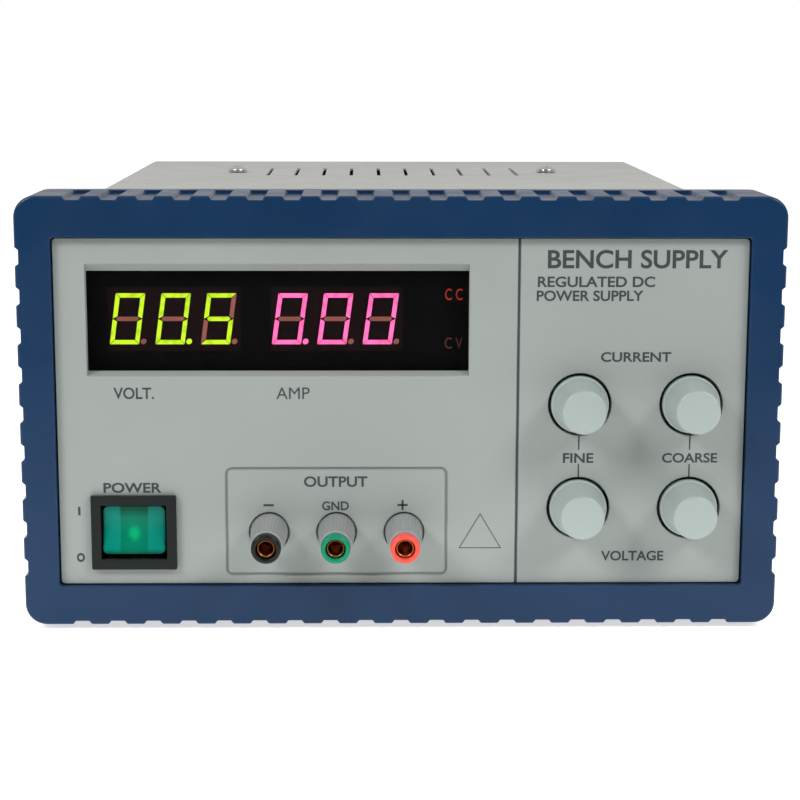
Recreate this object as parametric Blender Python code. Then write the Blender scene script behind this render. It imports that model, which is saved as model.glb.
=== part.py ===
"""Bench power supply: one regulated DC output, two meters, four setting knobs and three binding posts.

Metres, +Z up, the controls face -Y and +X is their right-hand side. The origin is on the bench, under the
middle of the whole object. Pieces are placed in the cabinet's own frame: X from its middle, Y back from the
front of the bumper frame, Z up from the bottom of the bumper frame.
"""

import math

import bmesh
import bpy
from mathutils import Matrix

# Gap between pieces that touch, and the clearance of holes around fasteners and shafts
GAP = 0.0003
HOLE_CLEARANCE = 0.0003

# Front bumper frame
BEZEL_WIDTH = 0.213
BEZEL_HEIGHT = 0.1215
BEZEL_DEPTH = 0.028
BEZEL_CORNER = 0.006
BEZEL_EDGE = 0.0025
BEZEL_REAR_EDGE = 0.0008
BEZEL_SIDE_BAND = 0.0098
BEZEL_TOP_BAND = 0.0114
BEZEL_BOTTOM_BAND = 0.0112
BEZEL_OPENING_CORNER = 0.0012
BEZEL_LIP = 0.008
NOTCH_DEPTH = 0.0011
NOTCH_WIDTH = 0.0053
NOTCH_FLOOR = 0.0039
NOTCH_LENGTH = 0.0227
NOTCH_PITCH_TOP = 0.01005
NOTCH_PITCH_SIDE = 0.011
NOTCH_END_MARGIN = 0.014

# Case of folded sheet behind the bumper frame
CASE_SIDE_STEP = 0.0065
CASE_TOP_STEP = 0.0073
CASE_BOTTOM_STEP = 0.0075
CASE_LENGTH = 0.2774
CASE_CORNER = 0.0025
SHEET = 0.0012
TRAY_FLANGE = 0.0145
TRAY_FRONT_FLANGE = 0.0055
REAR_SHEET = 0.0015
REAR_RECESS = 0.002
REAR_FLANGE = 0.012
VENT_COUNT = 10
VENT_PITCH = 0.0104
VENT_WIDTH = 0.0013
VENT_LENGTH = 0.046
VENT_FROM_REAR = 0.066
SIDE_VENT_COUNT = 9
SIDE_VENT_PITCH = 0.008
SIDE_VENT_WIDTH = 0.003
SIDE_VENT_HEIGHT = 0.034
SIDE_VENT_FROM_FRONT = 0.085
SIDE_VENT_ABOVE_FLOOR = 0.034

# Feet and screws
FOOT_DROP = 0.0015
FOOT_RADIUS = 0.0075
FOOT_TIP_RADIUS = 0.0062
FOOT_RECESS_RADIUS = 0.0028
FOOT_RECESS = 0.004
FOOT_INSET_X = 0.022
FOOT_FROM_FRONT = 0.036
FOOT_FROM_REAR = 0.026
SCREW_HEAD_RADIUS = 0.0036
SCREW_HEAD = 0.0021
SCREW_CROWN_RADIUS = 0.6 * SCREW_HEAD_RADIUS
SCREW_CROWN = 0.92 * SCREW_HEAD
SCREW_RIM = 0.4 * SCREW_HEAD
SCREW_SHANK_RADIUS = 0.0015
SCREW_SHANK = 0.0065
COVER_SCREW_X = 0.059
COVER_SCREW_FROM_REAR = 0.0712
SIDE_SCREW_FROM_FRONT = 0.034
SIDE_SCREW_FROM_REAR = 0.02
SIDE_SCREW_ABOVE_FLOOR = 0.0085

# Control panel
PANEL_RECESS = 0.002
PANEL_THICKNESS = 0.003
PANEL_FLANGE = 0.002
PANEL_WALL = 0.0045
PANEL_CORNER = 0.001
DIVIDER_FROM_RIGHT = 0.0641
DIVIDER_WIDTH = 0.0008
GROOVE_DEPTH = 0.0004
BOSS_RADIUS = 0.0028

# Display window, meters and their board
WINDOW_FROM_LEFT = 0.0091
WINDOW_FROM_TOP = 0.0074
WINDOW_WIDTH = 0.1064
WINDOW_HEIGHT = 0.0315
WINDOW_TOP_BEVEL = 0.0024
WINDOW_BOTTOM_BEVEL = 0.0012
LENS_THICKNESS = 0.002
LENS_LAP = 0.0019
MODULE_WIDTH = 0.0377
MODULE_HEIGHT = 0.019
MODULE_DEPTH = 0.008
MODULE_DROP = 0.0235
VOLT_MODULE_X = 0.0052
AMP_MODULE_X = 0.0506
INDICATOR_X = 0.0987
INDICATOR_WIDTH = 0.0072
BOARD = 0.0016
METER_BOARD_BELOW_WINDOW = 0.0125
METER_BOARD_ABOVE_WINDOW = 0.0042
METER_BOARD_BEYOND_WINDOW = 0.0012

# Power switch
SWITCH_FROM_LEFT = 0.0093
SWITCH_FROM_BOTTOM = 0.0048
SWITCH_WIDTH = 0.024
SWITCH_HEIGHT = 0.0214
SWITCH_FLANGE = 0.0014
SWITCH_LAP = 0.0012
SWITCH_BODY_DEPTH = 0.019
ROCKER_WINDOW_WIDTH = 0.0184
ROCKER_WINDOW_HEIGHT = 0.0156
ROCKER_CAVITY = 0.0115
ROCKER_SIDE_GAP = 0.0004
ROCKER_END_GAP = 0.001
ROCKER_PIVOT_DEPTH = 0.0044
ROCKER_WING = 0.0052
ROCKER_MIDDLE = 0.0041
ROCKER_BACK = 0.003
ROCKER_END_BACK = 0.0012
ROCKER_END_SHARE = 0.95
ROCKER_MIDDLE_SHARE = 0.35
ROCKER_TILT = 8.0
ROCKER_PIN_RADIUS = 0.0009
ROCKER_PIN = 0.0008
TAB_WIDTH = 0.0048
TAB_THICKNESS = 0.0008
TAB_LENGTH = 0.008

# Knobs and potentiometers
KNOB_FROM_RIGHT = 0.0154
KNOB_FROM_BOTTOM = 0.0222
KNOB_PITCH_X = 0.0313
KNOB_PITCH_Z = 0.0297
KNOB_RADIUS = 0.00805
KNOB_TIP_RADIUS = 0.0062
KNOB_LENGTH = 0.013
KNOB_SKIRT = 0.0012
KNOB_SUNK = 0.0022
KNOB_HOLE_CLEARANCE = 0.00085
SHAFT_RADIUS = 0.003
SHAFT_LENGTH = 0.0185
SHAFT_IN_KNOB = 0.0095
POT_WIDTH = 0.016
POT_DEPTH = 0.0085
BUSHING_WALL = 0.0011
BUSHING_LENGTH = 0.0042
BUSHING_SUNK = 0.002
CONTROL_BOARD_MARGIN = 0.0018

# Output binding posts
POST_FROM_LEFT = 0.0784
POST_FROM_BOTTOM = 0.0153
POST_PITCH = 0.01905
POST_REACH = 0.020
STUD_RADIUS = 0.0025
SOCKET_RADIUS = 0.002
SOCKET_DEPTH = 0.0145
STUD_SUNK_IN_CAP = 0.0012
STUD_HEAD_RADIUS = 0.0045
STUD_HEAD = 0.003
STUD_TAIL_RADIUS = 0.002
STUD_TAIL = 0.009
WIRE_HOLE_RADIUS = 0.001
NUT_RADIUS = 0.00525
NUT_TIP_RADIUS = 0.0045
NUT_HOLE_CLEARANCE = 0.0005
COUNTERBORE = 0.0016
CAP_FACE = 0.0026
CAP_SPIGOT = 0.0034
CAP_SPIGOT_WALL = 0.0009
OUTPUT_BOX_WIDTH = 0.0626
OUTPUT_BOX_HEIGHT = 0.0313
OUTPUT_BOX_FROM_BOTTOM = 0.0027
OUTPUT_BOX_CORNER = 0.0018
OUTPUT_BOX_LINE = 0.0007

# Cutters and small edges
OVERCUT = 0.001
FAR_CUT = 0.01
SMALL_CHAMFER = 0.0005
SLOT_END_MARGIN = 0.0001

# Mains transformer
CORE_WIDTH = 0.084
CORE_HEIGHT = 0.070
CORE_STACK = 0.044
CORE_LIMB = 0.014
CORE_FROM_SIDE = 0.010
CORE_FROM_FRONT = 0.078
WINDING_BULGE = 0.013
WINDING_CLEARANCE = 0.0006
WINDING_CORNER = 0.005

# Main board and what it carries
MAIN_BOARD_ABOVE_FLOOR = 0.0092
MAIN_BOARD_WIDTH = 0.088
MAIN_BOARD_FROM_SIDE = 0.006
MAIN_BOARD_FROM_FRONT = 0.050
STANDOFF_RADIUS = 0.003
STANDOFF_INSET = 0.006
CAPACITOR_RADIUS = 0.015
CAPACITOR_HEIGHT = 0.045
CAPACITOR_CRIMP = 0.0008
CAPACITOR_PITCH = 0.034
CAPACITOR_FROM_BOARD_FRONT = 0.030
BRIDGE_WIDTH = 0.028
BRIDGE_HEIGHT = 0.020
BRIDGE_THICKNESS = 0.0065

# Heat sink, power transistors and fan
HEAT_SINK_WIDTH = 0.126
HEAT_SINK_BASE = 0.005
HEAT_SINK_DEPTH = 0.043
HEAT_SINK_BELOW_COVER = 0.009
HEAT_SINK_FIN = 0.0018
HEAT_SINK_FINS = 12
HEAT_SINK_FIN_SETBACK = 0.003
HEAT_SINK_TO_FAN = 0.004
HEAT_SINK_END_FIN = 0.008
TRANSISTOR_WIDTH = 0.0156
TRANSISTOR_HEIGHT = 0.021
TRANSISTOR_THICKNESS = 0.005
TRANSISTOR_X = 0.024
TRANSISTOR_LEG = 0.0012
TRANSISTOR_LEG_PITCH = 0.0054
FAN_SIZE = 0.080
FAN_DEPTH = 0.025
FAN_BORE = 0.037
FAN_WALL = 0.0035
FAN_CORNER = 0.004
FAN_STRUT = 0.003
ROTOR_GAP = 0.0006
ROTOR_SUNK = 0.001
BLADE_THICKNESS = 0.002
BLADE_CHORD = 0.021
BLADE_PITCH = 42.0
BLADE_CLEARANCE = 0.003
FAN_HUB = 0.016
FAN_BLADES = 7
FAN_ABOVE_FLOOR = 0.0135
GRILLE_RADIUS = 0.035
GRILLE_PITCH = 0.0062
GRILLE_SLOT = 0.0034

# Mains inlet with its fuse drawer, and the voltage selector
INLET_X = 0.070
INLET_ABOVE_FLOOR = 0.0295
INLET_WIDTH = 0.030
INLET_HEIGHT = 0.040
INLET_FLANGE = 0.002
INLET_LAP = 0.0016
INLET_BODY_DEPTH = 0.026
INLET_SOCKET_WIDTH = 0.024
INLET_SOCKET_HEIGHT = 0.0165
INLET_SOCKET_DEPTH = 0.016
INLET_SOCKET_CORNER = 0.0045
INLET_CORNER = 0.002
INLET_SOCKET_RAISE = 0.0085
PIN_WIDTH = 0.002
PIN_HEIGHT = 0.004
PIN_LENGTH = 0.0125
PIN_PITCH = 0.007
LIVE_PIN_DROP = 0.0025
EARTH_PIN_RAISE = 0.0015
DRAWER_WIDTH = 0.017
DRAWER_HEIGHT = 0.0084
DRAWER_LENGTH = 0.0245
DRAWER_WALL = 0.0015
DRAWER_STEP_DEPTH = 0.0008
DRAWER_STEP_HEIGHT = 0.002
DRAWER_PROUD = 0.0014
DRAWER_DROP = 0.0115
FUSE_RADIUS = 0.0025
FUSE_LENGTH = 0.020
SELECTOR_ABOVE_INLET = 0.042
SELECTOR_WIDTH = 0.032
SELECTOR_HEIGHT = 0.015
SELECTOR_FLANGE = 0.0015
SELECTOR_LAP = 0.0045
SELECTOR_BODY_DEPTH = 0.011
SELECTOR_SLOT_WIDTH = 0.013
SELECTOR_SLOT_HEIGHT = 0.0064
SELECTOR_SLOT_DEPTH = 0.004
SLIDER_WIDTH = 0.007
SLIDER_SUNK = 0.0004
SLIDER_GROOVE = 0.0012
SLIDER_GROOVE_FLOOR = 0.0014

# Sides of round pieces
ROUND_LARGE = 32
ROUND = 24
ROUND_SMALL = 16
ROUND_TINY = 12

# Places worked out from the sizes above
CASE_HALF = BEZEL_WIDTH / 2 - CASE_SIDE_STEP
CASE_BOTTOM = CASE_BOTTOM_STEP
CASE_TOP = BEZEL_HEIGHT - CASE_TOP_STEP
FLOOR = CASE_BOTTOM + SHEET
CEILING = CASE_TOP - SHEET
PANEL_FACE = PANEL_RECESS
PANEL_BACK = PANEL_FACE + PANEL_THICKNESS
PANEL_REAR = BEZEL_LIP + GAP + PANEL_FLANGE
CASE_FRONT = PANEL_REAR + GAP
CASE_REAR = CASE_FRONT + CASE_LENGTH
REAR_FACE = CASE_REAR - REAR_RECESS
REAR_INSIDE = REAR_FACE - REAR_SHEET
OPENING_HALF = BEZEL_WIDTH / 2 - BEZEL_SIDE_BAND
OPENING_BOTTOM = BEZEL_BOTTOM_BAND
OPENING_TOP = BEZEL_HEIGHT - BEZEL_TOP_BAND
SIDE_INSIDE = CASE_HALF - SHEET
WINDOW_LEFT = -OPENING_HALF + WINDOW_FROM_LEFT
WINDOW_RIGHT = WINDOW_LEFT + WINDOW_WIDTH
WINDOW_TOP = OPENING_TOP - WINDOW_FROM_TOP
WINDOW_BOTTOM = WINDOW_TOP - WINDOW_HEIGHT
LENS_FRONT = PANEL_BACK + GAP
MODULE_FRONT = LENS_FRONT + LENS_THICKNESS + GAP
METER_BOARD_FRONT = MODULE_FRONT + MODULE_DEPTH + GAP
KNOB_X = (OPENING_HALF - KNOB_FROM_RIGHT - KNOB_PITCH_X, OPENING_HALF - KNOB_FROM_RIGHT)
KNOB_Z = (OPENING_BOTTOM + KNOB_FROM_BOTTOM, OPENING_BOTTOM + KNOB_FROM_BOTTOM + KNOB_PITCH_Z)
POT_FRONT = PANEL_BACK + BUSHING_LENGTH - OVERCUT
CONTROL_BOARD_FRONT = POT_FRONT + POT_DEPTH + GAP
POST_X = tuple(-OPENING_HALF + POST_FROM_LEFT + step * POST_PITCH for step in (-1, 0, 1))
POST_Z = OPENING_BOTTOM + POST_FROM_BOTTOM
SWITCH_X = -OPENING_HALF + SWITCH_FROM_LEFT + SWITCH_WIDTH / 2
SWITCH_Z = OPENING_BOTTOM + SWITCH_FROM_BOTTOM + SWITCH_HEIGHT / 2
INLET_Z = FLOOR + INLET_ABOVE_FLOOR
INLET_FACE = REAR_FACE + GAP + INLET_FLANGE
FAN_Z = FLOOR + FAN_ABOVE_FLOOR + FAN_SIZE / 2
FAN_REAR = REAR_INSIDE - GAP
HEAT_SINK_REAR = FAN_REAR - FAN_DEPTH - HEAT_SINK_TO_FAN
HEAT_SINK_FRONT = HEAT_SINK_REAR - HEAT_SINK_DEPTH
MAIN_BOARD_Z = FLOOR + MAIN_BOARD_ABOVE_FLOOR
MAIN_BOARD_RIGHT = SIDE_INSIDE - MAIN_BOARD_FROM_SIDE
MAIN_BOARD_FRONT = CASE_FRONT + MAIN_BOARD_FROM_FRONT
MAIN_BOARD_REAR = HEAT_SINK_FRONT - GAP
OVERALL_FRONT = PANEL_FACE - POST_REACH
OVERALL_REAR = INLET_FACE + DRAWER_PROUD


def clear_scene():
    """Remove every object of the open file."""
    for obj in list(bpy.data.objects):
        bpy.data.objects.remove(obj, do_unlink=True)


def finish(name, colour, roughness, metallic=0.0, alpha=1.0):
    """Return a plain material."""
    material = bpy.data.materials.new(name)
    material.use_nodes = True
    shader = material.node_tree.nodes["Principled BSDF"]
    shader.inputs["Base Color"].default_value = (*colour, 1.0)
    shader.inputs["Roughness"].default_value = roughness
    shader.inputs["Metallic"].default_value = metallic
    shader.inputs["Alpha"].default_value = alpha
    return material


def cabinet_frame():
    """Return the empty that carries the cabinet's own frame."""
    empty = bpy.data.objects.new("cabinet_frame", None)
    empty.location = (0.0, -(OVERALL_FRONT + OVERALL_REAR) / 2, FOOT_DROP)
    bpy.context.collection.objects.link(empty)
    return empty


def mesh_object(name, bm, at):
    """Return a new object from a bmesh, placed in the cabinet's frame."""
    bmesh.ops.recalc_face_normals(bm, faces=bm.faces)
    mesh = bpy.data.meshes.new(name)
    bm.to_mesh(mesh)
    bm.free()
    mesh.shade_smooth()
    mesh.set_sharp_from_angle(angle=math.radians(35))
    obj = bpy.data.objects.new(name, mesh)
    obj.parent = FRAME
    obj.location = at
    bpy.context.collection.objects.link(obj)
    return obj


def piece(name, bm, material, at=(0.0, 0.0, 0.0)):
    """Return a visible sub-part."""
    obj = mesh_object(name, bm, at)
    obj.data.materials.append(material)
    return obj


def combine(obj, operation, bm, label):
    """Join a bmesh to a piece, or cut it out, with a live Boolean. The bmesh shares the piece's origin."""
    tool = mesh_object(f"{obj.name}_{label}", bm, obj.location)
    tool.hide_render = True
    tool.display_type = "WIRE"
    modifier = obj.modifiers.new(label, "BOOLEAN")
    modifier.operation = operation
    modifier.object = tool
    modifier.solver = "EXACT"


def box(bm, low, high):
    """Add a box between two corners."""
    size = [b - a for a, b in zip(low, high)]
    centre = [(a + b) / 2 for a, b in zip(low, high)]
    matrix = Matrix.Translation(centre) @ Matrix.Diagonal((*size, 1.0))
    bmesh.ops.create_cube(bm, size=1.0, matrix=matrix)


def boxes(*corners):
    """Return a bmesh of separate boxes, each given as its two corners."""
    bm = bmesh.new()
    for low, high in corners:
        box(bm, low, high)
    return bm


def prism(bm, outline, start, end, along="Y"):
    """Add an outline stretched along one axis. Its two numbers are the other axes, in X, Y, Z order."""
    spot = "XYZ".index(along)

    def place(point, distance):
        values = list(point)
        values.insert(spot, distance)
        return values

    vertices = [bm.verts.new(place(point, start)) for point in outline]
    face = bm.faces.new(vertices)
    grown = bmesh.ops.extrude_face_region(bm, geom=[face])
    moved = [v for v in grown["geom"] if isinstance(v, bmesh.types.BMVert)]
    step = [0.0, 0.0, 0.0]
    step[spot] = end - start
    bmesh.ops.translate(bm, verts=moved, vec=step)
    return moved


def prisms(outlines, start, end, along="Y"):
    """Return a bmesh of separate outlines stretched along one axis."""
    bm = bmesh.new()
    for outline in outlines:
        prism(bm, outline, start, end, along)
    return bm


def rounded_rectangle(low, high, corner, steps=4):
    """Return the outline of a rectangle with round corners."""
    centres = (
        (high[0] - corner, high[1] - corner, 0.0),
        (low[0] + corner, high[1] - corner, 90.0),
        (low[0] + corner, low[1] + corner, 180.0),
        (high[0] - corner, low[1] + corner, 270.0),
    )
    points = []
    for x, z, first in centres:
        for step in range(steps + 1):
            angle = math.radians(first + 90.0 * step / steps)
            points.append((x + corner * math.cos(angle), z + corner * math.sin(angle)))
    return points


def circle(x, z, radius, sides):
    """Return the outline of a circle."""
    turns = [2 * math.pi * side / sides for side in range(sides)]
    return [(x + radius * math.cos(turn), z + radius * math.sin(turn)) for turn in turns]


def turned(
    bm, profile, sides, axis=(0.0, 1.0, 0.0), side=(1.0, 0.0, 0.0), centre=(0.0, 0.0, 0.0), ring=False
):
    """Spin a profile of (radius, distance along the axis). A ring's profile closes on itself."""
    before = set(bm.verts)
    vertices = []
    for radius, distance in profile:
        spot = [c + radius * s + distance * a for c, s, a in zip(centre, side, axis)]
        vertices.append(bm.verts.new(spot))
    pairs = list(zip(vertices, vertices[1:]))
    if ring:
        pairs.append((vertices[-1], vertices[0]))
    edges = [bm.edges.new(pair) for pair in pairs]
    bmesh.ops.spin(
        bm,
        geom=vertices + edges,
        cent=centre,
        axis=axis,
        angle=2 * math.pi,
        steps=sides,
        use_merge=True,
    )
    new = [v for v in bm.verts if v not in before]
    bmesh.ops.remove_doubles(bm, verts=new, dist=1e-6)


def turned_mesh(profile, sides, **settings):
    """Return a bmesh of one turned shape."""
    bm = bmesh.new()
    turned(bm, profile, sides, **settings)
    return bm


def notch_outlines():
    """Return the outlines of the grip notches round the bumper frame."""
    outlines = []
    half_width = NOTCH_WIDTH / 2
    half_floor = NOTCH_FLOOR / 2
    slope = (half_width - half_floor) / NOTCH_DEPTH
    over = OVERCUT
    mouth = half_width + slope * over
    runs = (
        (BEZEL_WIDTH, NOTCH_PITCH_TOP, 0.0),
        (BEZEL_HEIGHT, NOTCH_PITCH_SIDE, BEZEL_HEIGHT / 2),
    )
    for number, (length, pitch, middle) in enumerate(runs):
        count = int((length - 2 * NOTCH_END_MARGIN) / pitch) + 1
        for step in range(count):
            centre = middle + (step - (count - 1) / 2) * pitch
            for surface, outwards in notch_surfaces(number):
                floor = surface - outwards * NOTCH_DEPTH
                outer = surface + outwards * over
                shape = [
                    (centre - mouth, outer),
                    (centre - half_floor, floor),
                    (centre + half_floor, floor),
                    (centre + mouth, outer),
                ]
                outlines.append([point[::-1] for point in shape] if number else shape)
    return outlines


def notch_surfaces(number):
    """Return the two surfaces that a run of notches is cut in, each with its outward direction."""
    if number:
        return (-BEZEL_WIDTH / 2, -1), (BEZEL_WIDTH / 2, 1)
    return (0.0, -1), (BEZEL_HEIGHT, 1)


def make_front_bezel():
    """Bumper frame: round corners, grip notches, a lip in front of the panel and a socket for the case."""
    half = BEZEL_WIDTH / 2
    bm = bmesh.new()
    rear = prism(bm, rounded_rectangle((-half, 0.0), (half, BEZEL_HEIGHT), BEZEL_CORNER), 0.0, BEZEL_DEPTH)
    rear_edges = [e for e in bm.edges if e.verts[0] in rear and e.verts[1] in rear]
    front_edges = [e for e in bm.edges if e.verts[0] not in rear and e.verts[1] not in rear]
    bmesh.ops.bevel(
        bm, geom=rear_edges, offset=BEZEL_REAR_EDGE, affect="EDGES", segments=1, profile=0.5, material=-1
    )
    bmesh.ops.bevel(
        bm, geom=front_edges, offset=BEZEL_EDGE, affect="EDGES", segments=3, profile=0.5, material=-1
    )
    bezel = piece("front_bezel", bm, BLUE)
    opening = rounded_rectangle(
        (-OPENING_HALF, OPENING_BOTTOM), (OPENING_HALF, OPENING_TOP), BEZEL_OPENING_CORNER, 2
    )
    combine(bezel, "DIFFERENCE", prisms([opening], -FAR_CUT, BEZEL_LIP + OVERCUT), "opening")
    socket_low = (-CASE_HALF - GAP, CASE_BOTTOM - GAP)
    socket_high = (CASE_HALF + GAP, CASE_TOP + GAP)
    socket = rounded_rectangle(socket_low, socket_high, CASE_CORNER)
    combine(bezel, "DIFFERENCE", prisms([socket], BEZEL_LIP, BEZEL_DEPTH + FAR_CUT), "socket")
    combine(bezel, "DIFFERENCE", prisms(notch_outlines(), -FAR_CUT, NOTCH_LENGTH), "notches")


def make_front_panel():
    """Moulded panel: a plate behind the bumper's lip, with a flange at its back and the controls' holes."""
    low = (-OPENING_HALF + GAP, OPENING_BOTTOM + GAP)
    high = (OPENING_HALF - GAP, OPENING_TOP - GAP)
    plate = prisms([rounded_rectangle(low, high, PANEL_CORNER, 2)], PANEL_FACE, PANEL_REAR)
    panel = piece("front_panel", plate, PANEL)
    flange_low = (-CASE_HALF, CASE_BOTTOM)
    flange_high = (CASE_HALF, CASE_TOP)
    flange = prisms(
        [rounded_rectangle(flange_low, flange_high, CASE_CORNER)], BEZEL_LIP + GAP, PANEL_REAR
    )
    combine(panel, "UNION", flange, "flange")
    pocket = boxes(
        (
            (low[0] + PANEL_WALL, PANEL_BACK, low[1] + PANEL_WALL),
            (high[0] - PANEL_WALL, PANEL_REAR + FAR_CUT, high[1] - PANEL_WALL),
        )
    )
    combine(panel, "DIFFERENCE", pocket, "pocket")
    combine(panel, "UNION", panel_bosses(), "bosses")
    combine(panel, "DIFFERENCE", window_cutter(), "window")
    combine(panel, "DIFFERENCE", control_holes(), "holes")
    combine(panel, "DIFFERENCE", panel_grooves(), "grooves")


def panel_bosses():
    """Return the pillars that carry the meter board and the control board."""
    start = PANEL_BACK - OVERCUT
    bm = bmesh.new()
    middle = sum(KNOB_X) / 2
    for z in KNOB_Z:
        prism(bm, circle(middle, z, BOSS_RADIUS, ROUND_TINY), start, CONTROL_BOARD_FRONT - GAP)
    z = WINDOW_BOTTOM - METER_BOARD_BELOW_WINDOW / 2
    for x in (WINDOW_LEFT + 4 * BOSS_RADIUS, WINDOW_RIGHT - 4 * BOSS_RADIUS):
        prism(bm, circle(x, z, BOSS_RADIUS, ROUND_TINY), start, METER_BOARD_FRONT - GAP)
    return bm


def window_cutter():
    """Return the display window's hole, whose top and bottom slope inwards."""
    over = OVERCUT
    rise = WINDOW_TOP_BEVEL / PANEL_THICKNESS
    fall = WINDOW_BOTTOM_BEVEL / PANEL_THICKNESS
    front = PANEL_FACE - over
    back = PANEL_BACK + over
    profile = [
        (front, WINDOW_TOP + rise * over),
        (back, WINDOW_TOP - rise * (PANEL_THICKNESS + over)),
        (back, WINDOW_BOTTOM + fall * (PANEL_THICKNESS + over)),
        (front, WINDOW_BOTTOM - fall * over),
    ]
    return prisms([profile], WINDOW_LEFT, WINDOW_RIGHT, along="X")


def control_holes():
    """Return the holes for the knobs, the posts and the power switch."""
    bm = bmesh.new()
    front = PANEL_FACE - OVERCUT
    back = PANEL_BACK + OVERCUT
    for x in KNOB_X:
        for z in KNOB_Z:
            prism(bm, circle(x, z, KNOB_RADIUS + KNOB_HOLE_CLEARANCE, ROUND_LARGE), front, back)
    wide = NUT_RADIUS + NUT_HOLE_CLEARANCE
    narrow = STUD_RADIUS + HOLE_CLEARANCE
    step = PANEL_FACE + COUNTERBORE
    profile = [(0.0, front), (wide, front), (wide, step), (narrow, step), (narrow, back), (0.0, back)]
    for x in POST_X:
        turned(bm, profile, ROUND, centre=(x, 0.0, POST_Z))
    half_width = SWITCH_WIDTH / 2 - SWITCH_LAP + GAP
    half_height = SWITCH_HEIGHT / 2 - SWITCH_LAP + GAP
    box(
        bm,
        (SWITCH_X - half_width, front, SWITCH_Z - half_height),
        (SWITCH_X + half_width, back, SWITCH_Z + half_height),
    )
    return bm


def panel_grooves():
    """Return the shallow lines cut in the panel: the divider and the box round the output posts."""
    bm = bmesh.new()
    divider = OPENING_HALF - DIVIDER_FROM_RIGHT
    box(
        bm,
        (divider - DIVIDER_WIDTH / 2, PANEL_FACE - OVERCUT, OPENING_BOTTOM - OVERCUT),
        (divider + DIVIDER_WIDTH / 2, PANEL_FACE + GROOVE_DEPTH, OPENING_TOP + OVERCUT),
    )
    bottom = OPENING_BOTTOM + OUTPUT_BOX_FROM_BOTTOM
    low = (POST_X[1] - OUTPUT_BOX_WIDTH / 2, bottom)
    high = (POST_X[1] + OUTPUT_BOX_WIDTH / 2, bottom + OUTPUT_BOX_HEIGHT)
    outline = rounded_rectangle(low, high, OUTPUT_BOX_CORNER, 3)
    middle = bm.faces.new([bm.verts.new((x, PANEL_FACE - OVERCUT, z)) for x, z in outline])
    middle.normal_update()
    line = bmesh.ops.inset_individual(bm, faces=[middle], thickness=OUTPUT_BOX_LINE)["faces"]
    bmesh.ops.delete(bm, geom=[middle], context="FACES_ONLY")
    grown = bmesh.ops.extrude_face_region(bm, geom=line)
    moved = [v for v in grown["geom"] if isinstance(v, bmesh.types.BMVert)]
    bmesh.ops.translate(bm, verts=moved, vec=(0.0, OVERCUT + GROOVE_DEPTH, 0.0))
    return bm


def make_meters():
    """Smoked lens, the two display modules, the mode indicator and the board behind them."""
    lens = boxes(
        (
            (WINDOW_LEFT - LENS_LAP, LENS_FRONT, WINDOW_BOTTOM + WINDOW_BOTTOM_BEVEL - LENS_LAP),
            (WINDOW_RIGHT + LENS_LAP, LENS_FRONT + LENS_THICKNESS, WINDOW_TOP - WINDOW_TOP_BEVEL + LENS_LAP),
        )
    )
    piece("display_window", lens, SMOKED)
    middle = OPENING_TOP - MODULE_DROP
    modules = (
        ("volt_display", VOLT_MODULE_X, MODULE_WIDTH),
        ("amp_display", AMP_MODULE_X, MODULE_WIDTH),
        ("mode_indicator", INDICATOR_X, INDICATOR_WIDTH),
    )
    for name, start, width in modules:
        low = (WINDOW_LEFT + start, MODULE_FRONT, middle - MODULE_HEIGHT / 2)
        high = (WINDOW_LEFT + start + width, MODULE_FRONT + MODULE_DEPTH, middle + MODULE_HEIGHT / 2)
        piece(name, boxes((low, high)), BLACK)
    beyond = METER_BOARD_BEYOND_WINDOW
    low = (WINDOW_LEFT - beyond, METER_BOARD_FRONT, WINDOW_BOTTOM - METER_BOARD_BELOW_WINDOW)
    high = (WINDOW_RIGHT + beyond, METER_BOARD_FRONT + BOARD, WINDOW_TOP + METER_BOARD_ABOVE_WINDOW)
    piece("meter_board", boxes((low, high)), BOARD_GREEN)


def make_switch_frame():
    """Snap-in frame of the power switch, with the rocker's cavity and four contact tabs."""
    at = (SWITCH_X, PANEL_FACE - GAP, SWITCH_Z)
    half_width = SWITCH_WIDTH / 2
    half_height = SWITCH_HEIGHT / 2
    flange = boxes(((-half_width, -SWITCH_FLANGE, -half_height), (half_width, 0.0, half_height)))
    frame = piece("switch_frame", flange, BLACK, at)
    body = boxes(
        (
            (-half_width + SWITCH_LAP, -SWITCH_FLANGE / 2, -half_height + SWITCH_LAP),
            (half_width - SWITCH_LAP, SWITCH_BODY_DEPTH, half_height - SWITCH_LAP),
        )
    )
    combine(frame, "UNION", body, "body")
    tabs = bmesh.new()
    for x in (-SWITCH_WIDTH / 4, SWITCH_WIDTH / 4):
        for z in (-SWITCH_HEIGHT / 4, SWITCH_HEIGHT / 4):
            low = (x - TAB_THICKNESS / 2, SWITCH_BODY_DEPTH - OVERCUT, z - TAB_WIDTH / 2)
            high = (x + TAB_THICKNESS / 2, SWITCH_BODY_DEPTH + TAB_LENGTH, z + TAB_WIDTH / 2)
            box(tabs, low, high)
    combine(frame, "UNION", tabs, "tabs")
    cavity = boxes(
        (
            (-ROCKER_WINDOW_WIDTH / 2, -FAR_CUT, -ROCKER_WINDOW_HEIGHT / 2),
            (ROCKER_WINDOW_WIDTH / 2, ROCKER_CAVITY, ROCKER_WINDOW_HEIGHT / 2),
        )
    )
    combine(frame, "DIFFERENCE", cavity, "cavity")
    pivot = circle(ROCKER_PIVOT_DEPTH, 0.0, ROCKER_PIN_RADIUS + HOLE_CLEARANCE, ROUND_TINY)
    reach = ROCKER_WINDOW_WIDTH / 2 + ROCKER_PIN + SLOT_END_MARGIN
    combine(frame, "DIFFERENCE", prisms([pivot], -reach, reach, along="X"), "pivot")


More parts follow.
